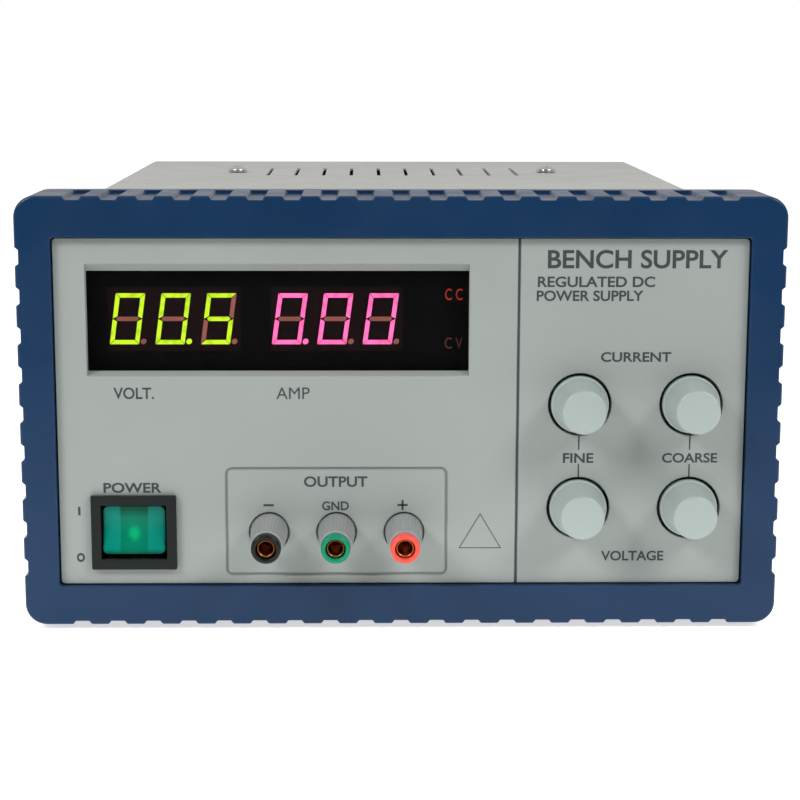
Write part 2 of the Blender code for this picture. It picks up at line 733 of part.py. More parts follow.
def make_power_rocker():
    """Rocker on two stub pins, its upper end pressed in."""
    half_height = ROCKER_WINDOW_HEIGHT / 2 - ROCKER_END_GAP
    steps = 6
    front = []
    for step in range(steps + 1):
        z = half_height * (1 - 2 * step / steps)
        dip = (ROCKER_WING - ROCKER_MIDDLE) * (1 - (z / half_height) ** 2)
        front.append((-ROCKER_WING + dip, z))
    back = [
        (ROCKER_END_BACK, -half_height * ROCKER_END_SHARE),
        (ROCKER_BACK, -half_height * ROCKER_MIDDLE_SHARE),
        (ROCKER_BACK, half_height * ROCKER_MIDDLE_SHARE),
        (ROCKER_END_BACK, half_height * ROCKER_END_SHARE),
    ]
    half_width = ROCKER_WINDOW_WIDTH / 2 - ROCKER_SIDE_GAP
    tilt = Matrix.Rotation(math.radians(-ROCKER_TILT), 3, "X")
    body = prisms([front + back], -half_width, half_width, along="X")
    bmesh.ops.rotate(body, verts=body.verts, cent=(0.0, 0.0, 0.0), matrix=tilt)
    at = (SWITCH_X, PANEL_FACE - GAP + ROCKER_PIVOT_DEPTH, SWITCH_Z)
    rocker = piece("power_rocker", body, ROCKER_GREEN, at)
    pin = circle(0.0, 0.0, ROCKER_PIN_RADIUS, ROUND_TINY)
    reach = ROCKER_WINDOW_WIDTH / 2 + ROCKER_PIN - HOLE_CLEARANCE
    combine(rocker, "UNION", prisms([pin], -reach, reach, along="X"), "pins")


def make_controls():
    """Four potentiometers with their shafts and knobs, and the board that carries them."""
    for z, quantity in zip(KNOB_Z, ("voltage", "current")):
        for x, grade in zip(KNOB_X, ("fine", "coarse")):
            make_control(f"{quantity}_{grade}", x, z)
    margin = POT_WIDTH / 2 + CONTROL_BOARD_MARGIN
    board = boxes(
        (
            (KNOB_X[0] - margin, CONTROL_BOARD_FRONT, KNOB_Z[0] - margin),
            (KNOB_X[1] + margin, CONTROL_BOARD_FRONT + BOARD, KNOB_Z[1] + margin),
        )
    )
    piece("control_board", board, BOARD_GREEN)


def make_control(name, x, z):
    """One potentiometer, its shaft and its knob, all on one axis."""
    at = (x, PANEL_FACE, z)
    bore = SHAFT_RADIUS + HOLE_CLEARANCE
    bushing = bore + BUSHING_WALL
    body_front = POT_FRONT - PANEL_FACE
    shaft_front = KNOB_SUNK - SHAFT_IN_KNOB
    shaft_end = shaft_front + SHAFT_LENGTH
    half = POT_WIDTH / 2
    body = boxes(((-half, body_front, -half), (half, body_front + POT_DEPTH, half)))
    pot = piece(f"potentiometer_{name}", body, ZINC, at)
    neck_front = body_front - BUSHING_LENGTH + BUSHING_SUNK
    neck = prisms([circle(0.0, 0.0, bushing, ROUND_SMALL)], neck_front, body_front + OVERCUT)
    combine(pot, "UNION", neck, "bushing")
    hole = prisms([circle(0.0, 0.0, bore, ROUND_SMALL)], neck_front - OVERCUT, shaft_end + GAP)
    combine(pot, "DIFFERENCE", hole, "bore")
    shaft = [(0.0, shaft_front), (SHAFT_RADIUS, shaft_front), (SHAFT_RADIUS, shaft_end), (0.0, shaft_end)]
    piece(f"shaft_{name}", turned_mesh(shaft, ROUND_SMALL), ZINC, at)
    tip = -KNOB_LENGTH
    chamfer = SMALL_CHAMFER
    knob = [
        (0.0, shaft_front - GAP),
        (bore, shaft_front - GAP),
        (bore, KNOB_SUNK),
        (KNOB_RADIUS, KNOB_SUNK),
        (KNOB_RADIUS, -KNOB_SKIRT + chamfer),
        (KNOB_RADIUS - chamfer, -KNOB_SKIRT),
        (KNOB_TIP_RADIUS, tip + chamfer),
        (KNOB_TIP_RADIUS - chamfer, tip),
        (0.0, tip),
    ]
    piece(f"knob_{name}", turned_mesh(knob, ROUND), KNOB_GREY, at)


def make_posts():
    """Three binding posts, each with its thumb nut and the coloured cap that the nut carries."""
    for x, name, colour in zip(POST_X, ("negative", "ground", "positive"), (CAP_BLACK, CAP_GREEN, CAP_RED)):
        make_post(name, x, colour)


def make_post(name, x, colour):
    """One binding post. The stud stays, the cap and the nut travel out together."""
    at = (x, PANEL_FACE, POST_Z)
    tip = -POST_REACH
    stud_tip = tip + STUD_SUNK_IN_CAP
    head = PANEL_THICKNESS + GAP
    stud = [
        (0.0, stud_tip + SOCKET_DEPTH),
        (SOCKET_RADIUS, stud_tip + SOCKET_DEPTH),
        (SOCKET_RADIUS, stud_tip),
        (STUD_RADIUS, stud_tip),
        (STUD_RADIUS, head),
        (STUD_HEAD_RADIUS, head),
        (STUD_HEAD_RADIUS, head + STUD_HEAD),
        (STUD_TAIL_RADIUS, head + STUD_HEAD),
        (STUD_TAIL_RADIUS, head + STUD_HEAD + STUD_TAIL),
        (0.0, head + STUD_HEAD + STUD_TAIL),
    ]
    post = piece(f"post_{name}", turned_mesh(stud, ROUND_SMALL), BRASS, at)
    hole = circle(0.0, -WIRE_HOLE_RADIUS, WIRE_HOLE_RADIUS, ROUND_TINY)
    wire = prisms([hole], -FAR_CUT, FAR_CUT, along="Z")
    combine(post, "DIFFERENCE", wire, "wire_hole")
    bore = STUD_RADIUS + HOLE_CLEARANCE
    spigot = bore + CAP_SPIGOT_WALL
    face_back = tip + CAP_FACE
    spigot_back = face_back + CAP_SPIGOT
    chamfer = SMALL_CHAMFER
    cap = [
        (bore, tip),
        (NUT_TIP_RADIUS - chamfer, tip),
        (NUT_TIP_RADIUS, tip + chamfer),
        (NUT_TIP_RADIUS, face_back),
        (spigot, face_back),
        (spigot, spigot_back),
        (bore, spigot_back),
    ]
    piece(f"post_cap_{name}", turned_mesh(cap, ROUND_SMALL, ring=True), colour, at)
    nut_back = COUNTERBORE - GAP
    nut = [
        (spigot + GAP, face_back + GAP),
        (NUT_TIP_RADIUS, face_back + GAP),
        (NUT_RADIUS, -chamfer),
        (NUT_RADIUS, nut_back),
        (bore, nut_back),
        (bore, spigot_back + GAP),
        (spigot + GAP, spigot_back + GAP),
    ]
    piece(f"thumb_nut_{name}", turned_mesh(nut, ROUND_SMALL, ring=True), KNOB_GREY, at)


def make_base_tray():
    """Folded floor of the case with low sides, a front flange and the pillars of the main board."""
    outer = SIDE_INSIDE - GAP
    floor = boxes(((-outer, CASE_FRONT, CASE_BOTTOM), (outer, CASE_REAR, FLOOR)))
    tray = piece("base_tray", floor, CASE_PAINT)
    over = SHEET / 2
    folds = bmesh.new()
    for low, high in ((-outer, -outer + SHEET), (outer - SHEET, outer)):
        box(folds, (low, CASE_FRONT, FLOOR - over), (high, REAR_INSIDE - GAP, FLOOR + TRAY_FLANGE))
    combine(tray, "UNION", folds, "sides")
    low = (-outer + over, CASE_FRONT, FLOOR - over)
    high = (outer - over, CASE_FRONT + SHEET, FLOOR + TRAY_FRONT_FLANGE)
    combine(tray, "UNION", boxes((low, high)), "front")
    pillars = bmesh.new()
    inset = STANDOFF_INSET
    for x in (MAIN_BOARD_RIGHT - MAIN_BOARD_WIDTH + inset, MAIN_BOARD_RIGHT - inset):
        for y in (MAIN_BOARD_FRONT + inset, MAIN_BOARD_REAR - inset):
            outline = circle(x, y, STANDOFF_RADIUS, ROUND_TINY)
            prism(pillars, outline, FLOOR - over, MAIN_BOARD_Z - GAP, along="Z")
    combine(tray, "UNION", pillars, "pillars")
    holes = bmesh.new()
    for y in side_screw_places():
        z = FLOOR + SIDE_SCREW_ABOVE_FLOOR
        outline = circle(y, z, SCREW_SHANK_RADIUS + HOLE_CLEARANCE, ROUND_TINY)
        prism(holes, outline, -CASE_HALF - OVERCUT, CASE_HALF + OVERCUT, along="X")
    combine(tray, "DIFFERENCE", holes, "screw_holes")


def side_screw_places():
    """Return the side screws' places along the case."""
    return CASE_FRONT + SIDE_SCREW_FROM_FRONT, CASE_REAR - SIDE_SCREW_FROM_REAR


def make_top_cover():
    """U-shaped cover with rounded folds, vents over the heat sink and vents in both sides."""
    bottom = CASE_BOTTOM + CASE_CORNER
    outer = cover_outline(CASE_HALF, CASE_TOP, CASE_CORNER, bottom)
    inner = cover_outline(CASE_HALF - SHEET, CASE_TOP - SHEET, CASE_CORNER - SHEET, bottom)
    cover = piece("top_cover", prisms([outer + inner[::-1]], CASE_FRONT, CASE_REAR), CASE_PAINT)
    slots = bmesh.new()
    for step in range(VENT_COUNT):
        x = (step - (VENT_COUNT - 1) / 2) * VENT_PITCH
        middle = CASE_REAR - VENT_FROM_REAR
        low = (x - VENT_WIDTH / 2, middle - VENT_LENGTH / 2)
        high = (x + VENT_WIDTH / 2, middle + VENT_LENGTH / 2)
        outline = rounded_rectangle(low, high, VENT_WIDTH / 2 - SLOT_END_MARGIN, 2)
        prism(slots, outline, CEILING - OVERCUT, CASE_TOP + OVERCUT, "Z")
    for x in (-COVER_SCREW_X, COVER_SCREW_X):
        hole = circle(x, CASE_REAR - COVER_SCREW_FROM_REAR, SCREW_SHANK_RADIUS + HOLE_CLEARANCE, ROUND_TINY)
        prism(slots, hole, CEILING - OVERCUT, CASE_TOP + OVERCUT, "Z")
    combine(cover, "DIFFERENCE", slots, "vents")
    sides = bmesh.new()
    for step in range(SIDE_VENT_COUNT):
        y = CASE_FRONT + SIDE_VENT_FROM_FRONT + step * SIDE_VENT_PITCH
        z = FLOOR + SIDE_VENT_ABOVE_FLOOR
        reach = CASE_HALF + OVERCUT
        box(sides, (-reach, y, z), (reach, y + SIDE_VENT_WIDTH, z + SIDE_VENT_HEIGHT))
    for y in side_screw_places():
        outline = circle(y, FLOOR + SIDE_SCREW_ABOVE_FLOOR, SCREW_SHANK_RADIUS + HOLE_CLEARANCE, ROUND_TINY)
        prism(sides, outline, -CASE_HALF - OVERCUT, CASE_HALF + OVERCUT, along="X")
    combine(cover, "DIFFERENCE", sides, "side_vents")


def cover_outline(half, top, corner, bottom, steps=4):
    """Return an upside-down U from its left foot over the top to its right foot."""
    points = [(-half, bottom)]
    for centre, first in ((-half + corner, 180.0), (half - corner, 90.0)):
        for step in range(steps + 1):
            angle = math.radians(first - 90.0 * step / steps)
            points.append((centre + corner * math.cos(angle), top - corner + corner * math.sin(angle)))
    points.append((half, bottom))
    return points


def make_rear_panel():
    """Rear plate with folded sides, the fan's grille, and cut-outs for the inlet and the selector."""
    half = SIDE_INSIDE - GAP
    outline = rounded_rectangle((-half, FLOOR + GAP), (half, CEILING - GAP), CASE_CORNER - SHEET, 2)
    panel = piece("rear_panel", prisms([outline], REAR_INSIDE, REAR_FACE), CASE_PAINT)
    sides = bmesh.new()
    low_edge = FLOOR + TRAY_FLANGE + GAP
    for low, high in ((-half, -half + SHEET), (half - SHEET, half)):
        fold_low = (low, REAR_INSIDE - REAR_FLANGE, low_edge)
        fold_high = (high, REAR_INSIDE + SHEET / 2, CEILING - CASE_CORNER)
        box(sides, fold_low, fold_high)
    combine(panel, "UNION", sides, "sides")
    front = REAR_INSIDE - OVERCUT
    back = REAR_FACE + OVERCUT
    cuts = bmesh.new()
    rows = int(GRILLE_RADIUS / GRILLE_PITCH)
    for row in range(-rows, rows + 1):
        offset = row * GRILLE_PITCH
        reach = math.sqrt(GRILLE_RADIUS**2 - offset**2)
        low = (-reach, FAN_Z + offset - GRILLE_SLOT / 2)
        high = (reach, FAN_Z + offset + GRILLE_SLOT / 2)
        prism(cuts, rounded_rectangle(low, high, GRILLE_SLOT / 2 - SLOT_END_MARGIN, 3), front, back)
    half_width = INLET_WIDTH / 2 - INLET_LAP + GAP
    half_height = INLET_HEIGHT / 2 - INLET_LAP + GAP
    box(
        cuts,
        (-INLET_X - half_width, front, INLET_Z - half_height),
        (-INLET_X + half_width, back, INLET_Z + half_height),
    )
    half_width = SELECTOR_WIDTH / 2 - SELECTOR_LAP + GAP
    half_height = SELECTOR_HEIGHT / 2 - SELECTOR_FLANGE + GAP
    selector_z = INLET_Z + SELECTOR_ABOVE_INLET
    box(
        cuts,
        (-INLET_X - half_width, front, selector_z - half_height),
        (-INLET_X + half_width, back, selector_z + half_height),
    )
    combine(panel, "DIFFERENCE", cuts, "cuts")


def make_feet():
    """Four round rubber feet under the tray, each with a recess for its screw."""
    top = CASE_BOTTOM - GAP
    bottom = -FOOT_DROP
    profile = [
        (0.0, top),
        (FOOT_RADIUS, top),
        (FOOT_TIP_RADIUS, bottom),
        (FOOT_RECESS_RADIUS, bottom),
        (FOOT_RECESS_RADIUS, bottom + FOOT_RECESS),
        (0.0, bottom + FOOT_RECESS),
    ]
    rows = (("front", CASE_FRONT + FOOT_FROM_FRONT), ("rear", CASE_REAR - FOOT_FROM_REAR))
    x = CASE_HALF - FOOT_INSET_X
    for row, y in rows:
        for side, place in (("left", -x), ("right", x)):
            bm = turned_mesh(profile, ROUND, axis=(0.0, 0.0, 1.0))
            piece(f"foot_{row}_{side}", bm, RUBBER, (place, y, 0.0))


def make_screw(name, at, axis, side):
    """Pan-head screw whose head faces along the axis and seats a gap away from its place."""
    profile = [
        (0.0, GAP + SCREW_HEAD),
        (SCREW_CROWN_RADIUS, GAP + SCREW_CROWN),
        (SCREW_HEAD_RADIUS, GAP + SCREW_RIM),
        (SCREW_HEAD_RADIUS, GAP),
        (SCREW_SHANK_RADIUS, GAP),
        (SCREW_SHANK_RADIUS, GAP - SCREW_SHANK),
        (0.0, GAP - SCREW_SHANK),
    ]
    piece(name, turned_mesh(profile, ROUND_TINY, axis=axis, side=side), ZINC, at)


def make_screws():
    """Two screws on top of the cover and two in each of its sides."""
    y = CASE_REAR - COVER_SCREW_FROM_REAR
    up = (0.0, 0.0, 1.0)
    right = (1.0, 0.0, 0.0)
    for side, x in (("left", -COVER_SCREW_X), ("right", COVER_SCREW_X)):
        make_screw(f"cover_screw_{side}", (x, y, CASE_TOP), up, right)
    z = FLOOR + SIDE_SCREW_ABOVE_FLOOR
    for row, y in zip(("front", "rear"), side_screw_places()):
        for side, sign in (("left", -1), ("right", 1)):
            make_screw(f"side_screw_{row}_{side}", (sign * CASE_HALF, y, z), (sign, 0.0, 0.0), up)


def make_transformer():
    """Laminated core with two windows, and the winding round its middle limb."""
    left = -SIDE_INSIDE + CORE_FROM_SIDE
    middle = left + CORE_WIDTH / 2
    front = CASE_FRONT + CORE_FROM_FRONT
    at = (middle, front + CORE_STACK / 2, FLOOR + GAP)
    half = CORE_WIDTH / 2
    window = (CORE_WIDTH - 4 * CORE_LIMB) / 2
    stack = CORE_STACK / 2
    blank = boxes(((-half, -stack, 0.0), (half, stack, CORE_HEIGHT)))
    core = piece("transformer_core", blank, LAMINATION, at)
    cuts = bmesh.new()
    for start in (-half + CORE_LIMB, half - CORE_LIMB - window):
        low = (start, -stack - OVERCUT, CORE_LIMB)
        high = (start + window, stack + OVERCUT, CORE_HEIGHT - CORE_LIMB)
        box(cuts, low, high)
    combine(core, "DIFFERENCE", cuts, "windows")
    inner = (CORE_LIMB + WINDING_CLEARANCE, stack + WINDING_CLEARANCE)
    outer = (CORE_LIMB + window - WINDING_CLEARANCE, stack + WINDING_BULGE)
    low = CORE_LIMB + WINDING_CLEARANCE
    high = CORE_HEIGHT - CORE_LIMB - WINDING_CLEARANCE
    coil = rounded_rectangle((-outer[0], -outer[1]), outer, WINDING_CORNER, 3)
    winding = piece("transformer_winding", prisms([coil], low, high, "Z"), WINDING, at)
    tunnel = boxes(((-inner[0], -inner[1], low - OVERCUT), (inner[0], inner[1], high + OVERCUT)))
    combine(winding, "DIFFERENCE", tunnel, "tunnel")


def make_main_board():
    """Main board with two filter capacitors and the bridge rectifier."""
    left = MAIN_BOARD_RIGHT - MAIN_BOARD_WIDTH
    top = MAIN_BOARD_Z + BOARD
    board = boxes(((left, MAIN_BOARD_FRONT, MAIN_BOARD_Z), (MAIN_BOARD_RIGHT, MAIN_BOARD_REAR, top)))
    piece("main_board", board, BOARD_GREEN)
    middle = left + MAIN_BOARD_WIDTH / 2
    y = MAIN_BOARD_FRONT + CAPACITOR_FROM_BOARD_FRONT
    crimp = CAPACITOR_CRIMP
    profile = [
        (0.0, 0.0),
        (CAPACITOR_RADIUS, 0.0),
        (CAPACITOR_RADIUS, CAPACITOR_HEIGHT - crimp),
        (CAPACITOR_RADIUS - crimp, CAPACITOR_HEIGHT),
        (0.0, CAPACITOR_HEIGHT),
    ]
    for number, side in enumerate((-1, 1), start=1):
        at = (middle + side * CAPACITOR_PITCH / 2, y, top + GAP)
        can = turned_mesh(profile, ROUND, axis=(0.0, 0.0, 1.0))
        piece(f"filter_capacitor_{number}", can, SLEEVE, at)
    half = BRIDGE_WIDTH / 2
    bridge_y = y + 2 * CAPACITOR_RADIUS
    bridge = boxes(
        (
            (middle - half, bridge_y, top + GAP),
            (middle + half, bridge_y + BRIDGE_THICKNESS, top + GAP + BRIDGE_HEIGHT),
        )
    )
    piece("bridge_rectifier", bridge, BLACK)


def heat_sink_outline():
    """Return the comb of the heat sink seen from above: a base across the front and fins behind it."""
    half = HEAT_SINK_WIDTH / 2
    back = HEAT_SINK_REAR
    root = HEAT_SINK_FRONT + HEAT_SINK_BASE
    fin_back = back - HEAT_SINK_FIN_SETBACK
    inner = half - HEAT_SINK_END_FIN
    gap = (2 * inner - HEAT_SINK_FINS * HEAT_SINK_FIN) / (HEAT_SINK_FINS + 1)
    points = [(-half, HEAT_SINK_FRONT), (-half, back), (-inner, back), (-inner, root)]
    for fin in range(HEAT_SINK_FINS):
        left = -inner + gap + fin * (gap + HEAT_SINK_FIN)
        right = left + HEAT_SINK_FIN
        points += [(left, root), (left, fin_back), (right, fin_back), (right, root)]
    points += [(inner, root), (inner, back), (half, back), (half, HEAT_SINK_FRONT)]
    return points


def make_heat_sink():
    """Finned heat sink between tray and cover, and the two power transistors on its front."""
    top = CEILING - HEAT_SINK_BELOW_COVER
    sink = piece("heat_sink", prisms([heat_sink_outline()], FLOOR + GAP, top, along="Z"), ALUMINIUM)
    half = HEAT_SINK_WIDTH / 2
    inner = half - HEAT_SINK_END_FIN
    posts = bmesh.new()
    y = CASE_REAR - COVER_SCREW_FROM_REAR
    reach = HEAT_SINK_END_FIN / 2
    for x in (-half, inner):
        box(posts, (x, y - reach, top - OVERCUT), (x + HEAT_SINK_END_FIN, y + reach, CEILING - GAP))
    combine(sink, "UNION", posts, "posts")
    holes = bmesh.new()
    for x in (-COVER_SCREW_X, COVER_SCREW_X):
        outline = circle(x, y, SCREW_SHANK_RADIUS + HOLE_CLEARANCE, ROUND_TINY)
        prism(holes, outline, CASE_TOP - SCREW_SHANK - OVERCUT, CASE_TOP, along="Z")
    combine(sink, "DIFFERENCE", holes, "screw_holes")
    board_top = MAIN_BOARD_Z + BOARD + GAP
    for number, x in enumerate((TRANSISTOR_X, TRANSISTOR_X + 2 * TRANSISTOR_WIDTH), start=1):
        back = HEAT_SINK_FRONT - GAP
        low_z = board_top + TRANSISTOR_WIDTH / 2
        half = TRANSISTOR_WIDTH / 2
        body = boxes(
            ((x - half, back - TRANSISTOR_THICKNESS, low_z), (x + half, back, low_z + TRANSISTOR_HEIGHT))
        )
        transistor = piece(f"power_transistor_{number}", body, BLACK)
        legs = bmesh.new()
        y = back - TRANSISTOR_THICKNESS / 2
        for step in (-1, 0, 1):
            leg = x + step * TRANSISTOR_LEG_PITCH
            low = (leg - TRANSISTOR_LEG / 2, y - TRANSISTOR_LEG / 4, board_top)
            high = (leg + TRANSISTOR_LEG / 2, y + TRANSISTOR_LEG / 4, low_z + OVERCUT)
            box(legs, low, high)
        combine(transistor, "UNION", legs, "legs")


def make_fan():
    """Axial fan behind the grille: a square frame with a hub on four struts, and a bladed rotor."""
    at = (0.0, FAN_REAR, FAN_Z)
    half = FAN_SIZE / 2
    outline = rounded_rectangle((-half, -half), (half, half), FAN_CORNER, 2)
    frame = piece("fan_frame", prisms([outline], -FAN_DEPTH, 0.0), FAN_BLACK, at)
    bore = FAN_BORE
    cutter = prisms([circle(0.0, 0.0, bore, ROUND_LARGE)], -FAN_DEPTH - FAR_CUT, FAR_CUT)
    combine(frame, "DIFFERENCE", cutter, "bore")
    hub_front = -FAN_WALL
    hub = prisms([circle(0.0, 0.0, FAN_HUB, ROUND)], hub_front, 0.0)
    combine(frame, "UNION", hub, "hub")
    for number, turn in enumerate((45.0, 135.0)):
        reach = bore + OVERCUT
        strut = boxes(((-reach, hub_front, -FAN_STRUT / 2), (reach, 0.0, FAN_STRUT / 2)))
        spin = Matrix.Rotation(math.radians(turn), 3, "Y")
        bmesh.ops.rotate(strut, verts=strut.verts, cent=(0.0, 0.0, 0.0), matrix=spin)
        combine(frame, "UNION", strut, f"strut_{number}")
    rotor_back = hub_front - ROTOR_GAP
    rotor_front = -FAN_DEPTH + ROTOR_SUNK
    hub = prisms([circle(0.0, 0.0, FAN_HUB, ROUND)], rotor_front, rotor_back)
    rotor = piece("fan_rotor", hub, FAN_BLACK, at)
    blade_low = (FAN_HUB - OVERCUT, -BLADE_THICKNESS / 2, -BLADE_CHORD / 2)
    blade_high = (bore - BLADE_CLEARANCE, BLADE_THICKNESS / 2, BLADE_CHORD / 2)
    middle = (rotor_front + rotor_back) / 2
    for number in range(FAN_BLADES):
        blade = boxes((blade_low, blade_high))
        pitch = Matrix.Rotation(math.radians(BLADE_PITCH), 3, "X")
        bmesh.ops.rotate(blade, verts=blade.verts, cent=(0.0, 0.0, 0.0), matrix=pitch)
        bmesh.ops.translate(blade, verts=blade.verts, vec=(0.0, middle, 0.0))
        spin = Matrix.Rotation(2 * math.pi * number / FAN_BLADES, 3, "Y")
        bmesh.ops.rotate(blade, verts=blade.verts, cent=(0.0, 0.0, 0.0), matrix=spin)
        combine(rotor, "UNION", blade, f"blade_{number}")


def make_power_inlet():
    """Three-pin mains inlet above a fuse drawer, in one housing."""
    at = (-INLET_X, INLET_FACE, INLET_Z)
    half_width = INLET_WIDTH / 2
    half_height = INLET_HEIGHT / 2
    outline = rounded_rectangle((-half_width, -half_height), (half_width, half_height), INLET_CORNER, 2)
    inlet = piece("power_inlet", prisms([outline], -INLET_FLANGE, 0.0), BLACK, at)
    body = boxes(
        (
            (-half_width + INLET_LAP, -INLET_FLANGE - INLET_BODY_DEPTH, -half_height + INLET_LAP),
            (half_width - INLET_LAP, -INLET_FLANGE / 2, half_height - INLET_LAP),
        )
    )
    combine(inlet, "UNION", body, "body")
    middle = INLET_SOCKET_RAISE
    low = middle - INLET_SOCKET_HEIGHT / 2
    high = middle + INLET_SOCKET_HEIGHT / 2
    reach = INLET_SOCKET_WIDTH / 2
    cut = INLET_SOCKET_CORNER
    socket = [
        (-reach, low),
        (reach, low),
        (reach, high - cut),
        (reach - cut, high),
        (-reach + cut, high),
        (-reach, high - cut),
    ]
    combine(inlet, "DIFFERENCE", prisms([socket], -INLET_SOCKET_DEPTH, FAR_CUT), "socket")
    pins = bmesh.new()
    places = ((-PIN_PITCH, -LIVE_PIN_DROP), (0.0, EARTH_PIN_RAISE), (PIN_PITCH, -LIVE_PIN_DROP))
    for x, z in places:
        low_pin = (x - PIN_WIDTH / 2, -INLET_SOCKET_DEPTH - OVERCUT, middle + z - PIN_HEIGHT / 2)
        high_pin = (x + PIN_WIDTH / 2, -INLET_SOCKET_DEPTH + PIN_LENGTH, middle + z + PIN_HEIGHT / 2)
        box(pins, low_pin, high_pin)
    combine(inlet, "UNION", pins, "pins")
    half_drawer = DRAWER_WIDTH / 2 + GAP
    half_tall = DRAWER_HEIGHT / 2 + GAP
    tunnel = boxes(
        (
            (-half_drawer, DRAWER_PROUD - DRAWER_LENGTH - GAP, -DRAWER_DROP - half_tall),
            (half_drawer, FAR_CUT, -DRAWER_DROP + half_tall),
        )
    )
    combine(inlet, "DIFFERENCE", tunnel, "tunnel")


def make_fuse_drawer():
    """Drawer that slides out backwards, with an open trough and the fuse that lies in it."""
    at = (-INLET_X, INLET_FACE, INLET_Z - DRAWER_DROP)
    half_width = DRAWER_WIDTH / 2
    half_height = DRAWER_HEIGHT / 2
    front = DRAWER_PROUD - DRAWER_LENGTH
    body = boxes(((-half_width, front, -half_height), (half_width, DRAWER_PROUD, half_height)))
    drawer = piece("fuse_drawer", body, BLACK, at)
    trough = FUSE_RADIUS + GAP
    fuse_front = front + DRAWER_WALL + GAP
    low = (-trough, front + DRAWER_WALL, -trough)
    high = (trough, fuse_front + FUSE_LENGTH + GAP, half_height + OVERCUT)
    combine(drawer, "DIFFERENCE", boxes((low, high)), "trough")
    low = (-half_width - OVERCUT, DRAWER_PROUD - DRAWER_STEP_DEPTH, half_height - DRAWER_STEP_HEIGHT)
    high = (half_width + OVERCUT, FAR_CUT, FAR_CUT)
    combine(drawer, "DIFFERENCE", boxes((low, high)), "finger_step")
    end = fuse_front + FUSE_LENGTH
    profile = [(0.0, fuse_front), (FUSE_RADIUS, fuse_front), (FUSE_RADIUS, end), (0.0, end)]
    piece("fuse", turned_mesh(profile, ROUND_TINY), GLASS, at)


def make_voltage_selector():
    """Slide switch that sets the mains voltage, and its slider at one end of the slot."""
    at = (-INLET_X, REAR_FACE + GAP, INLET_Z + SELECTOR_ABOVE_INLET)
    half_width = SELECTOR_WIDTH / 2
    half_height = SELECTOR_HEIGHT / 2
    plate = boxes(((-half_width, 0.0, -half_height), (half_width, SELECTOR_FLANGE, half_height)))
    selector = piece("voltage_selector", plate, BLACK, at)
    body = boxes(
        (
            (-half_width + SELECTOR_LAP, -SELECTOR_BODY_DEPTH, -half_height + SELECTOR_FLANGE),
            (half_width - SELECTOR_LAP, SELECTOR_FLANGE / 2, half_height - SELECTOR_FLANGE),
        )
    )
    combine(selector, "UNION", body, "body")
    reach = SELECTOR_SLOT_WIDTH / 2
    floor = SELECTOR_FLANGE - SELECTOR_SLOT_DEPTH
    slot = boxes(((-reach, floor, -SELECTOR_SLOT_HEIGHT / 2), (reach, FAR_CUT, SELECTOR_SLOT_HEIGHT / 2)))
    combine(selector, "DIFFERENCE", slot, "slot")
    left = -reach + GAP
    tall = SELECTOR_SLOT_HEIGHT / 2 - GAP
    block = boxes(((left, floor + GAP, -tall), (left + SLIDER_WIDTH, SELECTOR_FLANGE - SLIDER_SUNK, tall)))
    slider = piece("selector_slider", block, KNOB_GREY, at)
    middle = left + SLIDER_WIDTH / 2
    low = (middle - SLIDER_GROOVE / 2, SELECTOR_FLANGE - SLIDER_GROOVE_FLOOR, -FAR_CUT)
    groove = boxes((low, (middle + SLIDER_GROOVE / 2, FAR_CUT, FAR_CUT)))
    combine(slider, "DIFFERENCE", groove, "groove")


clear_scene()
FRAME = cabinet_frame()
BLUE = finish("bezel_blue", (0.013, 0.043, 0.125), 0.45)
PANEL = finish("panel_grey", (0.36, 0.38, 0.36), 0.5)
CASE_PAINT = finish("case_paint", (0.45, 0.45, 0.41), 0.45)
SMOKED = finish("smoked_lens", (0.02, 0.01, 0.01), 0.1, alpha=0.5)
BLACK = finish("black_plastic", (0.02, 0.02, 0.02), 0.5)
FAN_BLACK = finish("fan_black", (0.015, 0.015, 0.016), 0.6)
BOARD_GREEN = finish("circuit_board", (0.02, 0.12, 0.04), 0.4)
ROCKER_GREEN = finish("rocker_green", (0.0, 0.26, 0.19), 0.2)
KNOB_GREY = finish("knob_grey", (0.44, 0.50, 0.47), 0.45)
CAP_BLACK = finish("cap_black", (0.03, 0.03, 0.035), 0.45)
CAP_GREEN = finish("cap_green", (0.0, 0.3, 0.15), 0.45)
CAP_RED = finish("cap_red", (0.85, 0.1, 0.08), 0.45)
BRASS = finish("brass", (0.65, 0.33, 0.1), 0.3, metallic=1.0)
ZINC = finish("zinc_plate", (0.6, 0.6, 0.58), 0.35, metallic=1.0)
ALUMINIUM = finish("aluminium", (0.75, 0.75, 0.76), 0.4, metallic=1.0)
LAMINATION = finish("core_steel", (0.12, 0.12, 0.13), 0.55, metallic=0.8)
WINDING = finish("winding_tape", (0.75, 0.55, 0.15), 0.5)
SLEEVE = finish("capacitor_sleeve", (0.02, 0.04, 0.12), 0.35)
RUBBER = finish("foot_rubber", (0.02, 0.02, 0.02), 0.85)
GLASS = finish("fuse_glass", (0.8, 0.85, 0.85), 0.05, alpha=0.5)

make_front_bezel()
make_front_panel()
make_meters()
make_switch_frame()
make_power_rocker()
make_controls()
make_posts()
make_base_tray()
make_top_cover()
make_rear_panel()
make_feet()
make_screws()
make_transformer()
make_main_board()
make_heat_sink()
make_fan()
make_power_inlet()
make_fuse_drawer()
make_voltage_selector()
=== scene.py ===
"""Looks of a bench power supply, laid out as an add-on and run as a script.

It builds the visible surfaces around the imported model: mouldings with rounded edges, printed labels, lit
digits, knobs, binding posts, the folded case, the parts on its back and the finishes of the parts inside.
Metres, +Z up, the controls face -Y and +X is their right-hand side.
"""

import math

import bmesh
import bpy
from bpy.props import FloatProperty, FloatVectorProperty, IntProperty, PointerProperty
from mathutils import Matrix, Vector


